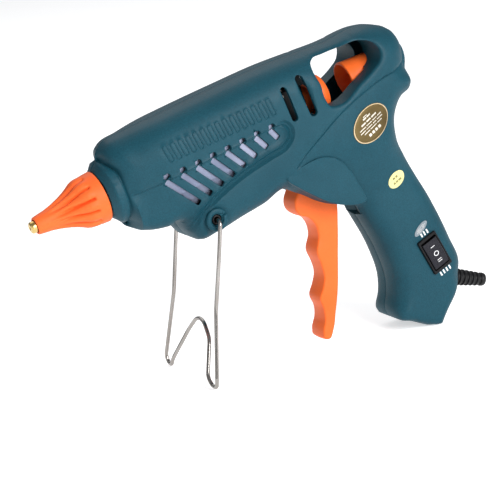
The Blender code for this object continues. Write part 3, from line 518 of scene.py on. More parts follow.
def surface(x, z, inset=0.0):
    """Height of a plain shell over the mid-plane; inset gives the inside of the wall."""
    x, z = np.asarray(x, float), np.asarray(z, float)
    dist, _ = distance_to(BODY, x, z)
    wide = half_width(x, z) - inset
    radius = edge_round(x, z) - inset
    t = np.clip((dist - inset) / radius, 0, 1)
    height = wide - radius * (1 - np.sqrt(1 - (1 - t) ** 2))
    neck = np.clip(NECK_R - inset + 3.3 * np.clip((x - 38.4) / 3.0, 0, 1), 1, None)
    ring = np.sqrt(np.clip(neck ** 2 - z ** 2, 0.04, None))
    joint = neck_joint(z)
    front = ramp(x, joint - 0.4, joint + 2.6)
    valley = 1.7 * hump(x, joint + 0.2, 0.75) * ramp(dist, 0.6, 2.0)
    return height * front + ring * (1 - front) - (valley if not inset else 0.0)


def detailed(x, z, side):
    """Height of the finished outer skin: panel, pad, boss, grooves and softened openings."""
    x, z = np.asarray(x, float), np.asarray(z, float)
    base = surface(x, z)
    panel = signed(PANEL, x, z)
    fade = ramp(x, 47.0, 52.0)
    base = base - PANEL_DEPTH * ramp(panel, -0.4, 0.6) * fade
    lower = np.clip(ramp(-z, 4.0, 8.0) + ramp(x, 129.5, 132.0), 0, 1) * ramp(x, 68.0, 73.0)
    base = base - lower * 1.5 * hump(panel, -0.7, 0.9)
    base = base + lower * 1.15 * hump(panel, 1.9, 0.95)
    ridge, _ = distance_to(RIDGE, x, z, False)
    above = z > np.interp(x, [p[0] for p in RIDGE], [p[1] for p in RIDGE])
    base = base + 0.35 * hump(ridge, 0.4, 0.7) * above * fade * (x < 128)
    for i in range(len(VENTS)):
        dip = signed(bridge_outline(i), x, z)
        base = base - 1.3 * ramp(dip, -0.15, 0.15)
    tread = np.full(len(x), 9.0)
    band = (x > 62) & (x < 136) & (z > 2) & (z < 19)
    for loop in TREAD:
        tread[band] = np.minimum(tread[band], distance_to(loop, x[band], z[band])[0])
    base = base + 0.36 * (1 - ramp(tread, 0.10, 0.38))
    flow, _ = distance_to(FLOW, x, z, False)
    run = np.interp(x, [p[0] for p in FLOW[::-1]], [p[1] for p in FLOW[::-1]])
    under = (z < run) & (x > 131)
    base = base - 0.55 * hump(flow, 0.0, 0.42) - 0.35 * under * (1 - ramp(flow, 0.0, 7.0))
    pad = signed(PAD, x, z)
    dish = ramp(z, -42.0, -30.0) * ramp(x, 130.0, 142.0)
    base = base - 1.1 * hump(pad, 0.0, 7.0) * (pad < 0) * dish
    t = np.clip(pad / 0.7, 0, 1)
    top = PAD_TOP - 0.7 * (1 - np.sqrt(1 - (1 - t) ** 2))
    base = np.where(pad > 0, np.maximum(base, top), base)
    away = np.hypot(x - BOSS[0], z - BOSS[1])
    base = base - 1.0 * hump(away, BOSS_R, 1.6) * (away > BOSS_R)
    rim = BOSS_TOP - 1.1 * (1 - ramp(away, 3.0, 3.6)) + 0.3 * hump(away, 4.6, 0.7)
    rim = rim - 0.35 * (1 - np.sqrt(1 - (1 - np.clip((BOSS_R - away) / 0.35, 0, 1)) ** 2))
    notch = np.abs((z - BOSS[1]) * math.cos(0.35) - (x - BOSS[0]) * math.sin(0.35))
    rim = rim - 1.3 * (1 - ramp(notch, 0.5, 0.75)) * (x > BOSS[0] + 1.0)
    base = np.where(away < BOSS_R, np.maximum(base, rim), base)
    for loop, reach in softened(side):
        dist, _ = distance_to(loop, x, z)
        t = np.clip(dist / reach, 0, 1)
        base = base - reach * (1 - np.sqrt(1 - (1 - t) ** 2))
    return base


def holes(side):
    """Outlines of every opening of one shell, apart from the window."""
    out = [vent_outline(i) for i in range(len(VENTS))] + [cap_outline(i) for i in range(len(CAPS))]
    out += [slot_loop(a, b, w) for a, b, w in LONG_SLOTS]
    out.append(oval_loop(BOSS, 2.7, 2.7, 0.0, 32))
    if side < 0:
        out.append(round_box((SWITCH.x, SWITCH.z), 17.8, 10.9, SWITCH_TURN, 0.6))
    else:
        out += [oval_loop(centre, 3.0, 3.0, 0.0, 32) for centre in SCREWS]
    return out


def softened(side):
    """Openings whose rim is rounded, with the rounding of each."""
    out = [(WINDOWS[side], 2.0)]
    out += [(loop, 0.35) for loop in holes(side)]
    return out


SLIT = [(129.0, -30.0), (162.2, -44.0), (163.6, -66.0), (150.0, -66.0), (126.0, -44.0)]


def rim_height(x, z):
    """How far the two shells stay from the mid-plane along their rims."""
    x, z = np.asarray(x, float), np.asarray(z, float)
    out = np.full(len(x), GAP / 2)
    way = np.select([x < 150, x < 159.2, x < 189], [0.0, 7.0, 10.9], 9.2)
    out = np.maximum(out, np.sqrt(np.clip(way ** 2 - z ** 2, 0, None)) * (z > -12) * (z < 12))
    out = np.where(distance_to(SLIT, x, z)[1], 7.7, out)
    u = x - RELIEF_START.x
    v = z - RELIEF_START.z
    run = u * RELIEF_ALONG.x + v * RELIEF_ALONG.z
    away = u * RELIEF_ALONG.z - v * RELIEF_ALONG.x
    cord = np.sqrt(np.clip(4.0 ** 2 - away ** 2, 0, None)) * (np.abs(run) < 9)
    return np.maximum(out, cord)


def spread(loops, guides, grid, rings):
    """Points inside the first loop and outside the others: rings near the rim, then a grid."""
    tree_points = [p for loop in loops + guides for p in denser(loop, grid * 0.5)]
    extra = []
    for depth, thin in rings:
        for loop in loops[:2]:
            extra += [(*p, thin) for p in offset_loop(loop, depth if loop is loops[0] else -depth)]
    xs, zs = zip(*loops[0])
    row = 0
    z = min(zs)
    while z < max(zs):
        x = min(xs) + (grid / 2 if row % 2 else 0)
        while x < max(xs):
            extra.append((x, z, grid * 0.55))
            x += grid
        z += grid * 0.866
        row += 1
    c = np.array(extra)
    keep = np.ones(len(c), bool)
    for k, loop in enumerate(loops):
        inside = distance_to(loop, c[:, 0], c[:, 1])[1]
        keep &= inside if k == 0 else ~inside
    tree = KDTree(len(tree_points) + len(c))
    for i, p in enumerate(tree_points):
        tree.insert((p[0], p[1], 0), i)
    tree.balance()
    chosen = []
    seen = {}
    for x, z, room in c[keep]:
        if tree.find((x, z, 0))[2] < room:
            continue
        key = (int(x / room), int(z / room), room)
        if key in seen:
            continue
        seen[key] = True
        chosen.append((float(x), float(z)))
    return chosen


def fill(loops, guides, extra):
    """Triangles between the first loop and the others, through the guides and extra points."""
    points, edges = [], []
    for loop in loops:
        base = len(points)
        points += [Vector(p) for p in loop]
        edges += [(base + i, base + (i + 1) % len(loop)) for i in range(len(loop))]
    for line in guides:
        base = len(points)
        points += [Vector(p) for p in line]
        edges += [(base + i, base + i + 1) for i in range(len(line) - 1)]
    points += [Vector(p) for p in extra]
    verts, _, faces, origins, _, _ = delaunay_2d_cdt(points, edges, [], 0, 1e-5)
    where = {}
    for index, sources in enumerate(origins):
        for source in sources:
            where[source] = index
    middles = np.array([np.mean([verts[i] for i in f], axis=0) for f in faces])
    keep = np.ones(len(faces), bool)
    for k, loop in enumerate(loops):
        inside = distance_to(loop, middles[:, 0], middles[:, 1])[1]
        keep &= inside if k == 0 else ~inside
    return [(v.x, v.y) for v in verts], [f for f, good in zip(faces, keep) if good], where


def skin(bm, loops, guides, extra, height, side):
    """Adds one triangulated sheet; returns the vertices of each loop."""
    points, faces, where = fill(loops, guides, extra)
    xs, zs = np.array([p[0] for p in points]), np.array([p[1] for p in points])
    heights = np.maximum(height(xs, zs), rim_height(xs, zs))
    used = set(i for f in faces for i in f)
    used |= set(where[k] for k in range(sum(len(loop) for loop in loops)))
    verts = {i: bm.verts.new((points[i][0], side * heights[i], points[i][1])) for i in used}
    for f in faces:
        bm.faces.new([verts[i] for i in f])
    out, base = [], 0
    for loop in loops:
        out.append([verts[where[base + k]] for k in range(len(loop))])
        base += len(loop)
    return out


def wall(bm, first, second):
    """Joins two rings of the same number of vertices."""
    count = len(first)
    for i in range(count):
        j = (i + 1) % count
        quad = [first[i], first[j], second[j], second[i]]
        distinct = []
        for v in quad:
            if all((v.co - w.co).length > 1e-5 for w in distinct):
                distinct.append(v)
        if len(distinct) > 2:
            bm.faces.new(distinct)


def ring_of(loop):
    """A closed outline as a line that ends where it starts."""
    return loop + loop[:1]


def guides_of(side):
    """Lines that the mesh follows, so that steps and grooves stay crisp."""
    out = []
    for offset in (-2.0, -1.35, -0.7, -0.1, 0.5, 1.2, 1.9, 2.7):
        out.append([p for p in offset_loop(PANEL, offset) if 50 < p[0] < 137 and z_inside(p)])
    heights = np.arange(-22.0, 22.5, 0.9)
    for offset in (-0.9, -0.4, 0.0, 0.4, 0.9, 1.5, 2.4):
        line = [(float(neck_joint(z)) + offset, float(z)) for z in heights]
        out.append([p for p in line if z_inside(p)])
    out += [ring_of(offset_loop(PAD, d)) for d in (-0.04, 0.05, 0.3, 0.8)]
    out += [ring_of(oval_loop(BOSS, r, r, 0.0, 48)) for r in (2.95, 3.6, 4.6, 5.2, 5.58, 5.64)]
    out += [offset_loop(FLOW, d, False) for d in (-0.6, -0.25, 0.25, 0.6)] + [FLOW]
    for loop in TREAD:
        out += [ring_of(offset_loop(loop, d)) for d in (-0.45, -0.12, 0.12, 0.45)]
    for loop, reach in softened(side):
        out += [ring_of(offset_loop(loop, -reach * share)) for share in (0.12, 0.45, 1.0)]
    return out


def z_inside(p):
    """Whether a guide point is well inside the body."""
    return distance_to(BODY, [p[0]], [p[1]])[1][0]


def piece(name, bm, mat, body, nodes=(), smooth=35.0):
    """Turns a mesh drawn in the gun's frame into a piece that rides on a body."""
    bmesh.ops.recalc_face_normals(bm, faces=bm.faces)
    bmesh.ops.transform(bm, matrix=GUN, verts=bm.verts)
    for v in bm.verts:
        v.co.z = max(v.co.z, 0.0)
    mesh = bpy.data.meshes.new(name)
    bm.to_mesh(mesh)
    bm.free()
    mesh.materials.append(mat)
    mesh.shade_smooth()
    mesh.set_sharp_from_angle(angle=math.radians(smooth))
    obj = bpy.data.objects.new(name, mesh)
    bpy.context.scene.collection.objects.link(obj)
    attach(obj, body)
    if nodes:
        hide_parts(*nodes)
    return obj


OUTER_RINGS = [(0.12, 0.5), (0.4, 0.7), (0.85, 0.8), (1.5, 0.9), (2.3, 1.0), (3.3, 1.1), (4.4, 1.2),
               (5.7, 1.3)]


def housing(name, side, node):
    """One moulded half with all its surface detail."""
    def outside(x, z):
        return detailed(x, z, side)

    def inside(x, z):
        return surface(x, z, WALL)

    def flat(x, z):
        return np.full(len(x), GAP / 2)

    bm = bmesh.new()
    openings = [denser(loop, 1.2) for loop in holes(side)]
    window = WINDOWS[side]
    outer = [BODY, window] + openings
    room, _ = distance_to(BODY, *zip(*window))
    thin = float(min(WALL, (room.min() - WALL) * 0.5))
    inner = [offset_loop(BODY, WALL), offset_loop(window, -thin)] + openings
    guides = [line for line in guides_of(side) if len(line) > 2]
    extra = spread(outer, guides, 1.5, OUTER_RINGS)
    top = skin(bm, outer, guides, extra, outside, side)
    low = skin(bm, inner, [], spread(inner, [], 5.0, [(2.0, 2.0)]), inside, side)
    for k in (0, 1):
        eased = moved_in(outer[k], SEAM if k == 0 else -SEAM * 0.5)
        pair = [eased, inner[k]] if k == 0 else [inner[k], eased]
        rim = skin(bm, pair, [], [], flat, side)
        edge, lip = (rim[0], rim[1]) if k == 0 else (rim[1], rim[0])
        xs, zs = np.array(outer[k]).T
        tops = np.array([abs(v.co.y) for v in top[k]])
        edges = np.minimum(rim_height(xs, zs) + 0.55, tops)
        brow = [bm.verts.new((x, side * h, z)) for x, z, h in zip(xs, zs, edges)]
        wall(bm, edge, brow)
        wall(bm, brow, top[k])
        wall(bm, lip, low[k])
    for a, b in zip(top[2:], low[2:]):
        wall(bm, a, b)
    bmesh.ops.remove_doubles(bm, verts=bm.verts, dist=1e-4)
    return piece(name, bm, TEAL, "gun", [node])


# ---------------------------------------------------------------- turned and swept shapes
def lathe(profile, segments=64, at=(0.0, 0.0, 0.0), along=(1.0, 0.0, 0.0), shape=None, bm=None):
    """A closed (distance, radius) profile turned about an axis; shape(angle, s, r) bends it."""
    bm = bm or bmesh.new()
    axis = Vector(along).normalized()
    side = axis.cross(Vector((0, 1, 0)))
    if side.length < 0.1:
        side = axis.cross(Vector((0, 0, 1)))
    side.normalize()
    up = axis.cross(side)
    base = Vector(at)
    rings = []
    for s, r in profile:
        if r < 1e-6:
            rings.append([bm.verts.new(base + axis * s)] * segments)
            continue
        ring = []
        for k in range(segments):
            t = math.tau * k / segments
            reach = shape(t, s, r) if shape else r
            ring.append(bm.verts.new(base + axis * s + (side * math.cos(t) + up * math.sin(t)) * reach))
        rings.append(ring)
    for a, b in zip(rings, rings[1:] + rings[:1]):
        if a[0] is a[1] and b[0] is b[1]:
            continue
        for k in range(segments):
            m = (k + 1) % segments
            quad = []
            for v in (a[k], a[m], b[m], b[k]):
                if v not in quad:
                    quad.append(v)
            bm.faces.new(quad)
    return bm


def rounded(profile, radius, steps=3, closed=True):
    """A profile with its corners rounded."""
    count = len(profile)
    out = []
    for i, p in enumerate(profile):
        if not closed and i in (0, count - 1):
            out.append(tuple(p))
            continue
        here, before, after = Vector(p), Vector(profile[i - 1]), Vector(profile[(i + 1) % count])
        reach = min(radius, (before - here).length * 0.45, (after - here).length * 0.45)
        if reach < 0.02 or here.y < 1e-6:
            out.append(tuple(p))
            continue
        a = here + (before - here).normalized() * reach
        b = here + (after - here).normalized() * reach
        for k in range(steps + 1):
            t = k / steps
            out.append(tuple(a.lerp(here, t).lerp(here.lerp(b, t), t)))
    return out


def smooth_path(points, radius, steps=6, spacing=1.5):
    """A polyline in space with rounded corners and even points on its straight runs."""
    pts = [Vector(p) for p in points]
    out = [pts[0]]
    for i in range(1, len(pts) - 1):
        before, after = pts[i - 1] - pts[i], pts[i + 1] - pts[i]
        cut = min(radius, before.length * 0.48, after.length * 0.48)
        a = pts[i] + before.normalized() * cut
        b = pts[i] + after.normalized() * cut
        for k in range(steps + 1):
            t = k / steps
            out.append(a.lerp(pts[i], t).lerp(pts[i].lerp(b, t), t))
    out.append(pts[-1])
    even = [out[0]]
    for p in out[1:]:
        gap = (p - even[-1]).length
        if gap < 0.15:
            continue
        parts = max(1, round(gap / spacing))
        start = even[-1].copy()
        even += [start.lerp(p, (k + 1) / parts) for k in range(parts)]
    return even


def tube_along(points, radius, segments=20, bm=None):
    """A round bar swept along 3-D points, with closed ends."""
    bm = bm or bmesh.new()
    pts = [Vector(p) for p in points]
    normal = None
    rings = []
    for i, p in enumerate(pts):
        ahead = (pts[min(i + 1, len(pts) - 1)] - p).normalized() if i < len(pts) - 1 else Vector()
        behind = (p - pts[i - 1]).normalized() if i else Vector()
        tangent = (ahead + behind).normalized()
        if normal is None:
            normal = tangent.orthogonal().normalized()
        normal = (normal - tangent * normal.dot(tangent)).normalized()
        other = tangent.cross(normal)
        rings.append([bm.verts.new(p + (normal * math.cos(math.tau * k / segments)
                                        + other * math.sin(math.tau * k / segments)) * radius)
                      for k in range(segments)])
    for a, b in zip(rings, rings[1:]):
        for k in range(segments):
            m = (k + 1) % segments
            bm.faces.new((a[k], a[m], b[m], b[k]))
    bm.faces.new(rings[0])
    bm.faces.new(rings[-1])
    return bm


# ---------------------------------------------------------------- nozzle end
FLUTES = 12
FLUTE_PHASE = math.radians(15.0)


def nozzle_tip():
    """Turned brass nozzle with its chamfered mouth and a wider round step behind."""
    profile = [(1.4, 0.75), (0.0, 0.9), (0.0, 2.3), (0.7, 2.95), (3.4, 3.02), (3.6, 2.7), (4.1, 2.7),
               (4.3, 3.1), (11.0, 3.6), (14.0, 5.2), (21.0, 5.2), (21.0, 4.0), (34.0, 4.0),
               (34.0, 1.6), (12.0, 1.6), (9.0, 0.75)]
    bm = lathe(rounded(profile, 0.18, 2), 64)
    piece("nozzle_tip", bm, BRASS, "gun", ["nozzle"], 40)


def fluted_cover():
    """Silicone sleeve whose flutes are deepest at the flare and fade towards the tip."""
    spine = [(2.8, 4.15), (3.1, 4.4), (9.0, 5.3), (14.0, 6.4), (19.0, 7.8), (22.0, 9.0), (24.6, 10.3),
             (26.8, 11.6), (28.8, 12.3), (31.0, 12.6), (34.0, 12.85), (37.2, 13.05), (37.6, 12.85)]
    along = np.linspace(spine[1][0], spine[-2][0], 96)
    outer = [spine[0]] + [(float(s), float(np.interp(s, *zip(*spine)))) for s in along] + [spine[-1]]
    inner = [(37.6, 10.2), (27.0, 8.6), (21.6, 5.7), (13.6, 5.7), (10.4, 3.95), (2.8, 3.5)]

    def shape(angle, s, r):
        if (s, r) in inner:
            return r
        turn = (angle - FLUTE_PHASE) * FLUTES / math.tau
        off = abs(turn - round(turn)) * math.tau / FLUTES * r
        width = 0.55 + 0.5 * float(ramp(-s, -28, -14))
        end = float(ramp(-s, -32.4, -31.7)) * float(ramp(s, 6.0, 27.0))
        ridge = 0.35 * float(ramp(s, 8, 24)) * float(ramp(-s, -33.5, -30))
        crown = ridge * math.cos(math.tau * turn)
        return r - 2.0 * end * math.exp(-(off / width) ** 2) - crown

    bm = lathe(outer + inner, FLUTES * 24, shape=shape)
    piece("fluted_cover", bm, SILICONE, "gun", ["nozzle_cover"], 50)


# ---------------------------------------------------------------- trigger
TRIGGER_POINTS = [
    (133.4, -40.6), (130.4, -44.6), (129.5, -48.4), (130.9, -52.2), (134.4, -54.9),
    (137.0, -59.4), (136.9, -66.2), (132.8, -74.4), (133.2, -80.4), (132.6, -87.6),
    (130.0, -92.4), (126.4, -97.2), (126.6, -103.2), (125.4, -108.4), (121.9, -114.6),
    (121.4, -117.8), (124.2, -119.3), (128.2, -115.2), (132.2, -107.6), (136.8, -98.2),
    (143.8, -79.6), (149.2, -64.6), (152.2, -54.8), (152.6, -46.0), (150.4, -36.0),
    (147.8, -29.4), (143.0, -26.8), (138.4, -29.0), (136.4, -35.0)]


def trigger():
    """Finger trigger: flat sides, soft edges and a hollowed front with three finger rests."""
    loop = curve_through(TRIGGER_POINTS, 1.0)
    half = 7.0
    soft = 1.0
    dent = [(135.2, -64.5), (132.0, -84.0), (126.0, -103.5)]
    bm = bmesh.new()
    guides = [ring_of(offset_loop(loop, d)) for d in (0.05, 0.15, 0.35, 0.65, 1.0, 1.4, 2.2, 3.2)]
    extra = spread([loop], guides, 1.6, [])
    rows = []
    for side in (-1, 1):
        points, faces, where = fill([loop], guides, extra)
        x, z = np.array([p[0] for p in points]), np.array([p[1] for p in points])
        dist, _ = distance_to(loop, x, z)
        t = np.clip(dist / soft, 0, 1)
        high = half - soft * (1 - np.sqrt(1 - (1 - t) ** 2))
        for cx, cz in dent:
            high = high - 0.9 * hump(np.hypot(x - cx, (z - cz) * 0.62), 0.0, 4.2)
        verts = [bm.verts.new((p[0], side * h, p[1])) for p, h in zip(points, high)]
        for f in faces:
            bm.faces.new([verts[i] for i in f])
        rows.append([verts[where[k]] for k in range(len(loop))])
    trigger_edge(bm, loop, rows)
    x, z = TRIGGER_PIVOT.x, TRIGGER_PIVOT.z
    arm = [(x + 1.0, -8.0), (x + 4.0, -8.0), (x + 4.4, z + 3.0), (x + 2.0, z - 4.0),
           (x - 3.0, z - 2.0), (x - 2.4, z + 4.0)]
    prism(arm, -2.8, 2.8, bm)
    piece("finger_trigger", bm, ORANGE, "trigger", ["trigger"], 50)


def trigger_edge(bm, loop, rows):
    """The trigger's edge between its two sides, a little swollen across the finger rests."""
    before = rows[0]
    levels = 8
    inward = []
    count = len(loop)
    for i in range(count):
        tangent = Vector(loop[(i + 1) % count]) - Vector(loop[i - 1])
        normal = Vector((-tangent.y, tangent.x)).normalized()
        probe = Vector(loop[i]) + normal * 0.5
        inside = distance_to(loop, [probe.x], [probe.y])[1][0]
        inward.append(normal if inside else -normal)
    for level in range(1, levels):
        share = level / levels
        row = []
        for i, (x, z) in enumerate(loop):
            a, b = rows[0][i].co, rows[1][i].co
            front = float(ramp(inward[i].x, 0.35, 0.8)) * float(ramp(-z, 46, 54))
            sink = -0.35 * math.sin(math.pi * share) * front
            row.append(bm.verts.new((x + inward[i].x * sink, a.y + (b.y - a.y) * share,
                                     z + inward[i].y * sink)))
        wall(bm, before, row)
        before = row
    wall(bm, before, rows[1])


def prism(loop, y0, y1, bm):
    """A flat outline pushed out from y0 to y1."""
    low = [bm.verts.new((x, y0, z)) for x, z in loop]
    high = [bm.verts.new((x, y1, z)) for x, z in loop]
    bm.faces.new(low)
    bm.faces.new(high)
    wall(bm, low, high)
    return bm


# ---------------------------------------------------------------- guide, collar and stand
def stick_guides():
    """Orange inlet collar and the flared rear guide, seen through the window."""
    collar = [(152.8, 6.0), (152.8, 8.6), (155.0, 8.6), (155.0, 6.7), (159.4, 6.7), (159.6, 10.4),
              (161.6, 10.5), (163.8, 10.3), (165.2, 9.8), (166.2, 9.0), (166.8, 8.0), (166.8, 7.0),
              (165.6, 6.2)]
    piece("collar_ring", lathe(rounded(collar, 0.35), 72), ORANGE, "gun", ["inlet_collar"],
          45)
    end = node_span("guide_tube", 0)[1] - 1.0
    tube = [(180.0, 8.5), (180.2, 9.3), (180.7, 9.6), (181.6, 9.5), (184.0, 9.2), (188.0, 9.0),
            (190.0, 8.9), (end, 8.6), (end + 0.4, 8.2), (end + 0.4, 6.6), (190.0, 6.6), (184.0, 7.6)]
    piece("rear_guide", lathe(rounded(tube, 0.4), 72), ORANGE, "gun", ["guide_tube"],
          45)


def wire():
    """Polished wire stand with its M-shaped foot."""
    px, pz = BOSS
    left = [(px, -15.0, pz), (px, -25.6, pz), (76.1, -26.0, -44.3), (64.9, -25.4, -69.8),
            (50.8, -31.0, -101.2), (50.3, -29.0, -104.9), (50.0, -24.6, -104.6),
            (50.4, -21.4, -100.8), (61.2, -12.4, -86.6), (64.0, -5.0, -80.6)]
    right = [(x, -y, z) for x, y, z in reversed(left)]
    path = smooth_path(left + [(64.6, 0.0, -79.4)] + right, 3.0, 8, 1.2)
    piece("bent_wire", tube_along(path, 1.0, 20), WIRE, "stand", ["wire_stand"], 60)
    for name, side, node in (("pivot_bush_near", -1, "stand_bush_left"),
                             ("pivot_bush_far", 1, "stand_bush_right")):
        profile = rounded([(13.6, 1.4), (13.6, 2.35), (21.8, 2.35), (21.8, 1.4)], 0.25)
        bm = lathe(profile, 40, (px, 0, pz), (0, side, 0))
        piece(name, bm, BLACK, "gun", [node])


# ---------------------------------------------------------------- switch
def in_switch(u, v):
    """A point of the switch's own plane: u along its length, v across."""
    cu, su = math.cos(SWITCH_TURN), math.sin(SWITCH_TURN)
    return SWITCH.x + u * cu - v * su, SWITCH.z + u * su + v * cu


def bezel():
    """The switch's frame, with the well that the rocker sits in and the body behind."""
    centre = (SWITCH.x, SWITCH.z)
    bm = bmesh.new()
    rows = []
    for length, width, corner, y in ((20.4, 11.8, 0.7, -15.0), (20.4, 11.8, 0.7, -16.5),
                                     (20.0, 11.4, 0.6, -16.9), (17.3, 9.9, 0.5, -16.9),
                                     (17.0, 9.6, 0.4, -16.6), (17.0, 9.6, 0.4, -10.5)):
        rows.append([bm.verts.new((x, y, z))
                     for x, z in round_box(centre, length, width, SWITCH_TURN, corner)])
    for a, b in zip(rows, rows[1:]):
        wall(bm, a, b)
    bm.faces.new(rows[-1])
    body = [bm.verts.new((x, y, z)) for y in (-15.8, -3.5)
            for x, z in round_box(centre, 17.2, 10.4, SWITCH_TURN, 0.4)]
    half = len(body) // 2
    wall(bm, rows[0], body[:half])
    wall(bm, body[:half], body[half:])
    bm.faces.new(body[half:])
    piece("switch_bezel", bm, BLACK, "gun", ["switch_frame"])


def rocker():
    """The curved rocker, with its slanted underside."""
    bm = bmesh.new()
    columns = []
    lengthwise = np.linspace(-7.6, 7.6, 25)
    for v, sink in ((-4.5, 0.35), (-4.2, 0.05), (0.0, 0.0), (4.2, 0.05), (4.5, 0.35)):
        columns.append([bm.verts.new(over_switch(u, v, rocker_face(u) + sink)) for u in lengthwise])
    for a, b in zip(columns, columns[1:]):
        for k in range(len(a) - 1):
            bm.faces.new((a[k], a[k + 1], b[k + 1], b[k]))
    base = [(6.0, -13.6), (2.0, -11.6), (-2.0, -11.6), (-6.0, -13.6)]
    low = [[bm.verts.new(over_switch(u, v, y)) for u, y in base] for v in (-4.5, 4.5)]
    bm.faces.new(columns[0] + low[0])
    bm.faces.new(columns[-1] + low[1])
    near, far = [columns[0][-1]] + low[0], [columns[-1][-1]] + low[1]
    for k in range(len(low[0])):
        bm.faces.new((near[k], near[k + 1], far[k + 1], far[k]))
    ends = [low[0][3], columns[0][0]] + [c[0] for c in columns[1:]] + [low[1][3]]
    bm.faces.new(ends)
    tail = [columns[0][-1]] + [c[-1] for c in columns[1:]]
    bm.faces.new(tail)
    piece("rocker_button", bm, ROCKER_BLACK, "rocker", ["rocker"])


def rocker_marks():
    """The printed I, O and II."""
    bm = bmesh.new()
    stroke = 0.14
    mark_bar(bm, -4.2, 0.0, stroke, 1.25)
    for offset in (-0.55, 0.55):
        mark_bar(bm, 4.2 + offset, 0.0, stroke, 1.25)
    ring = []
    for radius, lift in ((1.3, 0.02), (1.3, 0.10), (0.98, 0.10), (0.98, 0.02)):
        ring.append([bm.verts.new(over_switch(radius * math.cos(t), radius * 1.15 * math.sin(t),
                                              rocker_face(radius * math.cos(t)) - lift))
                     for t in np.linspace(0, math.tau, 33)[:-1]])
    for a, b in zip(ring, ring[1:] + ring[:1]):
        wall(bm, a, b)
    piece("rocker_marks", bm, WHITE, "rocker")


def over_switch(u, v, y):
    """A point over the switch's plane at depth y."""
    x, z = in_switch(u, v)
    return x, y, z


def rocker_face(u):
    """Depth of the rocker's hollowed face along its length."""
    return -17.9 + 0.0067 * u * u


def mark_bar(bm, u, v, half_u, half_v):
    """One short printed bar on the rocker."""
    corners = [(u - half_u, v - half_v), (u + half_u, v - half_v), (u + half_u, v + half_v),
               (u - half_u, v + half_v)]
    low = [bm.verts.new(over_switch(a, b, rocker_face(a) - 0.02)) for a, b in corners]
    high = [bm.verts.new(over_switch(a, b, rocker_face(a) - 0.10)) for a, b in corners]
    wall(bm, low, high)
    bm.faces.new(low)
    bm.faces.new(high)


# ---------------------------------------------------------------- labels
def laid_on_shell(bm, points, lift):
    """Vertices over the left shell, lifted off it."""
    heights = surface(*zip(*points))
    return [bm.verts.new((x, -h - lift, z)) for (x, z), h in zip(points, heights)]


def on_shell(bm, loop, lift, thickness, centre):
    """Adds a thin plate that follows the left shell."""
    rows = []
    for share, out in ((1.0, lift), (1.0, lift + thickness * 0.7), (0.985, lift + thickness),
                       (0.66, lift + thickness), (0.33, lift + thickness)):
        pts = [(centre[0] + (x - centre[0]) * share, centre[1] + (z - centre[1]) * share)
               for x, z in loop]
        rows.append(laid_on_shell(bm, pts, out))
    for a, b in zip(rows, rows[1:]):
        wall(bm, a, b)
    bm.faces.new(rows[-1])
    bm.faces.new(rows[0])


def bars_on_shell(bm, centre, turn, lines, lift):
    """Short printed dashes in rows, as a plain pattern."""
    cos, sin = math.cos(turn), math.sin(turn)
    for row, dashes, thick in lines:
        for start, end in dashes:
            corners = [(start, row - thick), (end, row - thick), (end, row + thick), (start, row + thick)]
            pts = [(centre[0] + u * cos - v * sin, centre[1] + u * sin + v * cos) for u, v in corners]
            low = laid_on_shell(bm, pts, lift)
            high = laid_on_shell(bm, pts, lift + 0.06)
            wall(bm, low, high)
            bm.faces.new(low)
            bm.faces.new(high)


LABEL_LIFT = 0.12
LABEL_THICK = 0.14
PRINT_LIFT = 0.27


def middle_of(node):
    """The middle of a CAD node in side view."""
    return tuple(sum(node_span(node, axis)) / 2 for axis in (0, 2))


def oval_label(name, node, half_long, half_short, turn, segments, mat):
    """One foil oval that follows the shell; returns its centre."""
    centre = middle_of(node)
    bm = bmesh.new()
    loop = oval_loop(centre, half_long, half_short, turn, segments)
    on_shell(bm, loop, LABEL_LIFT, LABEL_THICK, centre)
    piece(name, bm, mat, "gun", [node])
    return centre


def dashes(name, centre, turn, lines, mat):
    """The plain dashes printed on one label."""
    bm = bmesh.new()
    bars_on_shell(bm, centre, turn, lines, PRINT_LIFT)
    piece(name, bm, mat, "gun")


def rating():
    """The large oval with its raised rim and rows of dashes."""
    bronze = metal("bronze_foil", (0.105, 0.075, 0.032), (0.16, 0.115, 0.05), 0.42, (1, 1, 5), 260.0)
    rim_foil = metal("rim_foil", (0.52, 0.40, 0.24), (0.66, 0.52, 0.34), 0.35)
    print_foil = metal("print_foil", (0.62, 0.58, 0.50), (0.74, 0.70, 0.62), 0.4)
    turn = math.radians(24)
    centre = oval_label("rating_oval", "rating_label", 11.6, 8.4, turn, 64, bronze)
    bm = bmesh.new()
    edge = []
    for grow, lift in ((0.985, 0.27), (0.985, 0.33), (0.94, 0.33), (0.94, 0.27)):
        loop = oval_loop(centre, 11.6 * grow, 8.4 * grow, turn, 96)
        edge.append(laid_on_shell(bm, loop, lift))
    for a, b in zip(edge, edge[1:] + edge[:1]):
        wall(bm, a, b)
    piece("rating_rim", bm, rim_foil, "gun")
    lines = [(5.4, [(-1.8, 0.8)], 0.2), (4.4, [(-2.6, -0.4), (0.1, 2.4)], 0.42),
             (2.5, [(-5.2, -2.2), (-1.6, 1.4), (2.0, 5.4)], 0.4),
             (0.8, [(-7.6, -3.4), (-2.8, 0.9), (1.5, 4.4), (5.0, 7.8)], 0.22),
             (-0.6, [(-8.0, -4.6), (-4.0, 0.2), (0.8, 3.2), (3.8, 7.6)], 0.22),
             (-2.0, [(-6.4, -2.6), (-2.0, 2.4), (3.0, 6.2)], 0.22),
             (-4.2, [(-4.6, -3.0), (-2.3, -0.8), (-0.1, 1.4), (2.1, 3.7)], 0.7)]
    dashes("rating_dashes", centre, turn - math.radians(6), lines, print_foil)


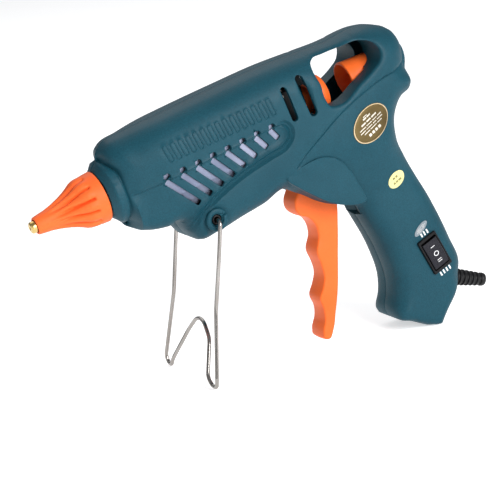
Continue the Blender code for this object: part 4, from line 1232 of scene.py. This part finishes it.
def small_labels():
    """The yellow check oval and the grey oval over the switch."""
    yellow = moulded("yellow_label", (0.66, 0.62, 0.26), (0.76, 0.72, 0.34), 0.45, 0.00001, 900.0, 90.0)
    olive = moulded("olive_print", (0.16, 0.15, 0.05), (0.22, 0.20, 0.07), 0.5, 0.00001)
    grey = moulded("grey_label", (0.15, 0.19, 0.22), (0.24, 0.27, 0.29), 0.42, 0.00002, 1400.0, 300.0)
    pale = moulded("pale_print", (0.38, 0.38, 0.38), (0.5, 0.5, 0.5), 0.5, 0.00001)
    turn = math.radians(30)
    centre = oval_label("check_oval", "check_label", 5.2, 3.9, turn, 48, yellow)
    lines = [(1.3, [(-1.6, -0.4), (0.2, 1.4)], 0.5), (-1.2, [(-2.6, -1.5), (-1.0, 0.2), (0.7, 2.4)], 0.5)]
    dashes("check_dashes", centre, turn - 0.2, lines, olive)
    centre = oval_label("wattage_oval", "wattage_label", 5.0, 1.9, turn, 48, grey)
    lines = [(0.7, [(-2.6, -0.4), (0.2, 2.6)], 0.16), (0.0, [(-3.4, 0.4), (1.0, 3.4)], 0.16),
             (-0.7, [(-2.6, 0.0), (0.6, 2.4)], 0.16)]
    dashes("wattage_dashes", centre, turn, lines, pale)


def switch_ticks():
    """Plain white ticks at both ends of the switch."""
    bm = bmesh.new()
    across = SWITCH_TURN + math.pi / 2
    for u, ticks in ((-12.1, (-1.9, 0.0, 1.9)), (12.1, (-3.0, -1.0, 1.0, 3.0))):
        row = (0.0, [(t - 0.42, t + 0.42) for t in ticks], 1.15)
        bars_on_shell(bm, in_switch(u, 0.6), across, [row], 0.05)
    piece("switch_ticks", bm, WHITE, "gun")


# ---------------------------------------------------------------- cord exit and screws
def relief():
    """Ribbed rubber strain relief."""
    profile = [(-7.0, 0), (-7.0, 5.2), (-4.6, 5.2), (-4.6, 3.7), (0.6, 3.7), (0.8, 4.5), (1.6, 4.7)]
    ribs = 6
    pitch = (RELIEF_LENGTH - 4.6) / ribs
    for k in range(ribs):
        s = 2.2 + pitch * k
        r = 4.75 - 0.2 * k
        profile += [(s, r), (s + 0.28 * pitch, r - 0.1), (s + 0.36 * pitch, r - 1.0),
                    (s + 0.86 * pitch, r - 1.05), (s + 0.96 * pitch, r - 0.2)]
    profile += [(RELIEF_LENGTH - 1.2, 3.6), (RELIEF_LENGTH, 3.3), (RELIEF_LENGTH, 0)]
    bm = lathe(rounded(profile, 0.22, 2), 48, RELIEF_START, RELIEF_ALONG)
    piece("ribbed_relief", bm, RUBBER, "gun", ["strain_relief"])


def screws():
    """Case screws with a cross recess, driven from the right-hand side."""
    for number, (x, z) in enumerate(SCREWS, 1):
        node = "case_screw_%d" % number
        low, high = node_span(node, 1)
        head = high - 1.6
        profile = [(low, 0), (low, 1.0), (head, 1.0), (head, 2.5), (head + 0.9, 2.5),
                   (head + 1.35, 1.9), (head + 1.6, 0.9), (head + 1.6, 0)]
        bm = lathe(rounded(profile, 0.2), 32, (x, 0, z), (0, 1, 0))
        for turn in (0.4, 0.4 + math.pi / 2):
            box = round_box((x, z), 2.6, 0.5, turn, 0.12)
            prism(box, head + 1.3, head + 1.63, bm)
        piece("case_screw_%d_head" % number, bm, STEEL, "gun", [node])


# ---------------------------------------------------------------- carried-over nodes
CARRIED = {
    "melt_chamber": ALUMINIUM, "front_insulator": CERAMIC, "rear_insulator": CERAMIC,
    "heater_upper": CERAMIC, "heater_lower": CERAMIC, "heat_shield": SHIELD,
    # The inlet sleeve gets black rubber so that it shows black through the long slots: painted shade inside the
    # barrel.
    "inlet_sleeve": RUBBER, "thermal_fuse": STEEL, "feed_carriage": BLACK, "clamp_jaw": STEEL,
    "jaw_pin": STEEL, "carriage_spring": STEEL, "trigger_pivot": STEEL, "trigger_spring": STEEL,
    "switch_terminal_1": BRASS, "switch_terminal_2": BRASS, "switch_terminal_3": BRASS,
    "cord_clamp": BLACK, "clamp_screw": STEEL, "diode": BLACK, "live_lead": BROWN,
    "neutral_lead": BLUE}


def carried_over():
    """Better materials for the CAD nodes that stay in sight or inside."""
    for node, mat in CARRIED.items():
        for slot in frame["nodes"][node].material_slots:
            slot.material = mat


# ---------------------------------------------------------------- floor and light
def plain_floor():
    """Plain pale floor."""
    n = Nodes("pale_floor")
    n.link(n.ramp(n.noise(3.0), [(0.3, (0.86, 0.86, 0.86)), (0.7, (0.88, 0.88, 0.88))]),
           n.shader.inputs["Base Color"])
    n.shader.inputs["Roughness"].default_value = 0.9
    n.shader.inputs["Emission Color"].default_value = (1.0, 1.0, 1.0, 1.0)
    n.shader.inputs["Emission Strength"].default_value = 0.55
    bm = bmesh.new()
    reach = 6.0
    corners = [bm.verts.new((x * reach, y * reach, -0.0005)) for x, y in
               ((-1, -1), (1, -1), (1, 1), (-1, 1))]
    bm.faces.new(corners)
    mesh = bpy.data.meshes.new("floor")
    bm.to_mesh(mesh)
    bm.free()
    mesh.materials.append(n.mat)
    floor = bpy.data.objects.new("floor", mesh)
    bpy.context.scene.collection.objects.link(floor)


def studio_light():
    """Soft studio light from three round lamps and a pale sky."""
    world = bpy.data.worlds.new("studio")
    bpy.context.scene.world = world
    world.use_nodes = True
    sky = world.node_tree.nodes["Background"]
    sky.inputs["Color"].default_value = (0.94, 0.96, 1.0, 1.0)
    sky.inputs["Strength"].default_value = 0.34
    for name, azimuth, elevation, distance, size, power in (
            ("key", 14.0, 24.0, 1.3, 0.8, 19.0),
            ("fill", -70.0, 10.0, 1.6, 1.0, 2.0),
            ("back", 170.0, 52.0, 1.6, 1.6, 8.0)):
        back = seen_from(math.radians(azimuth), math.radians(elevation))
        light = bpy.data.lights.new(name, 'AREA')
        light.shape = 'DISK'
        light.size = size
        light.energy = power
        obj = bpy.data.objects.new(name, light)
        obj.location = Vector((0, 0, 0.07)) + back * distance
        obj.rotation_euler = back.to_track_quat('Z', 'Y').to_euler()
        bpy.context.scene.collection.objects.link(obj)
    bpy.context.scene.view_settings.view_transform = 'Standard'


housing("left_housing", -1, "left_shell")
housing("right_housing", 1, "right_shell")
nozzle_tip()
fluted_cover()
trigger()
stick_guides()
wire()
bezel()
rocker()
rocker_marks()
rating()
small_labels()
switch_ticks()
relief()
screws()
carried_over()
plain_floor()
studio_light()
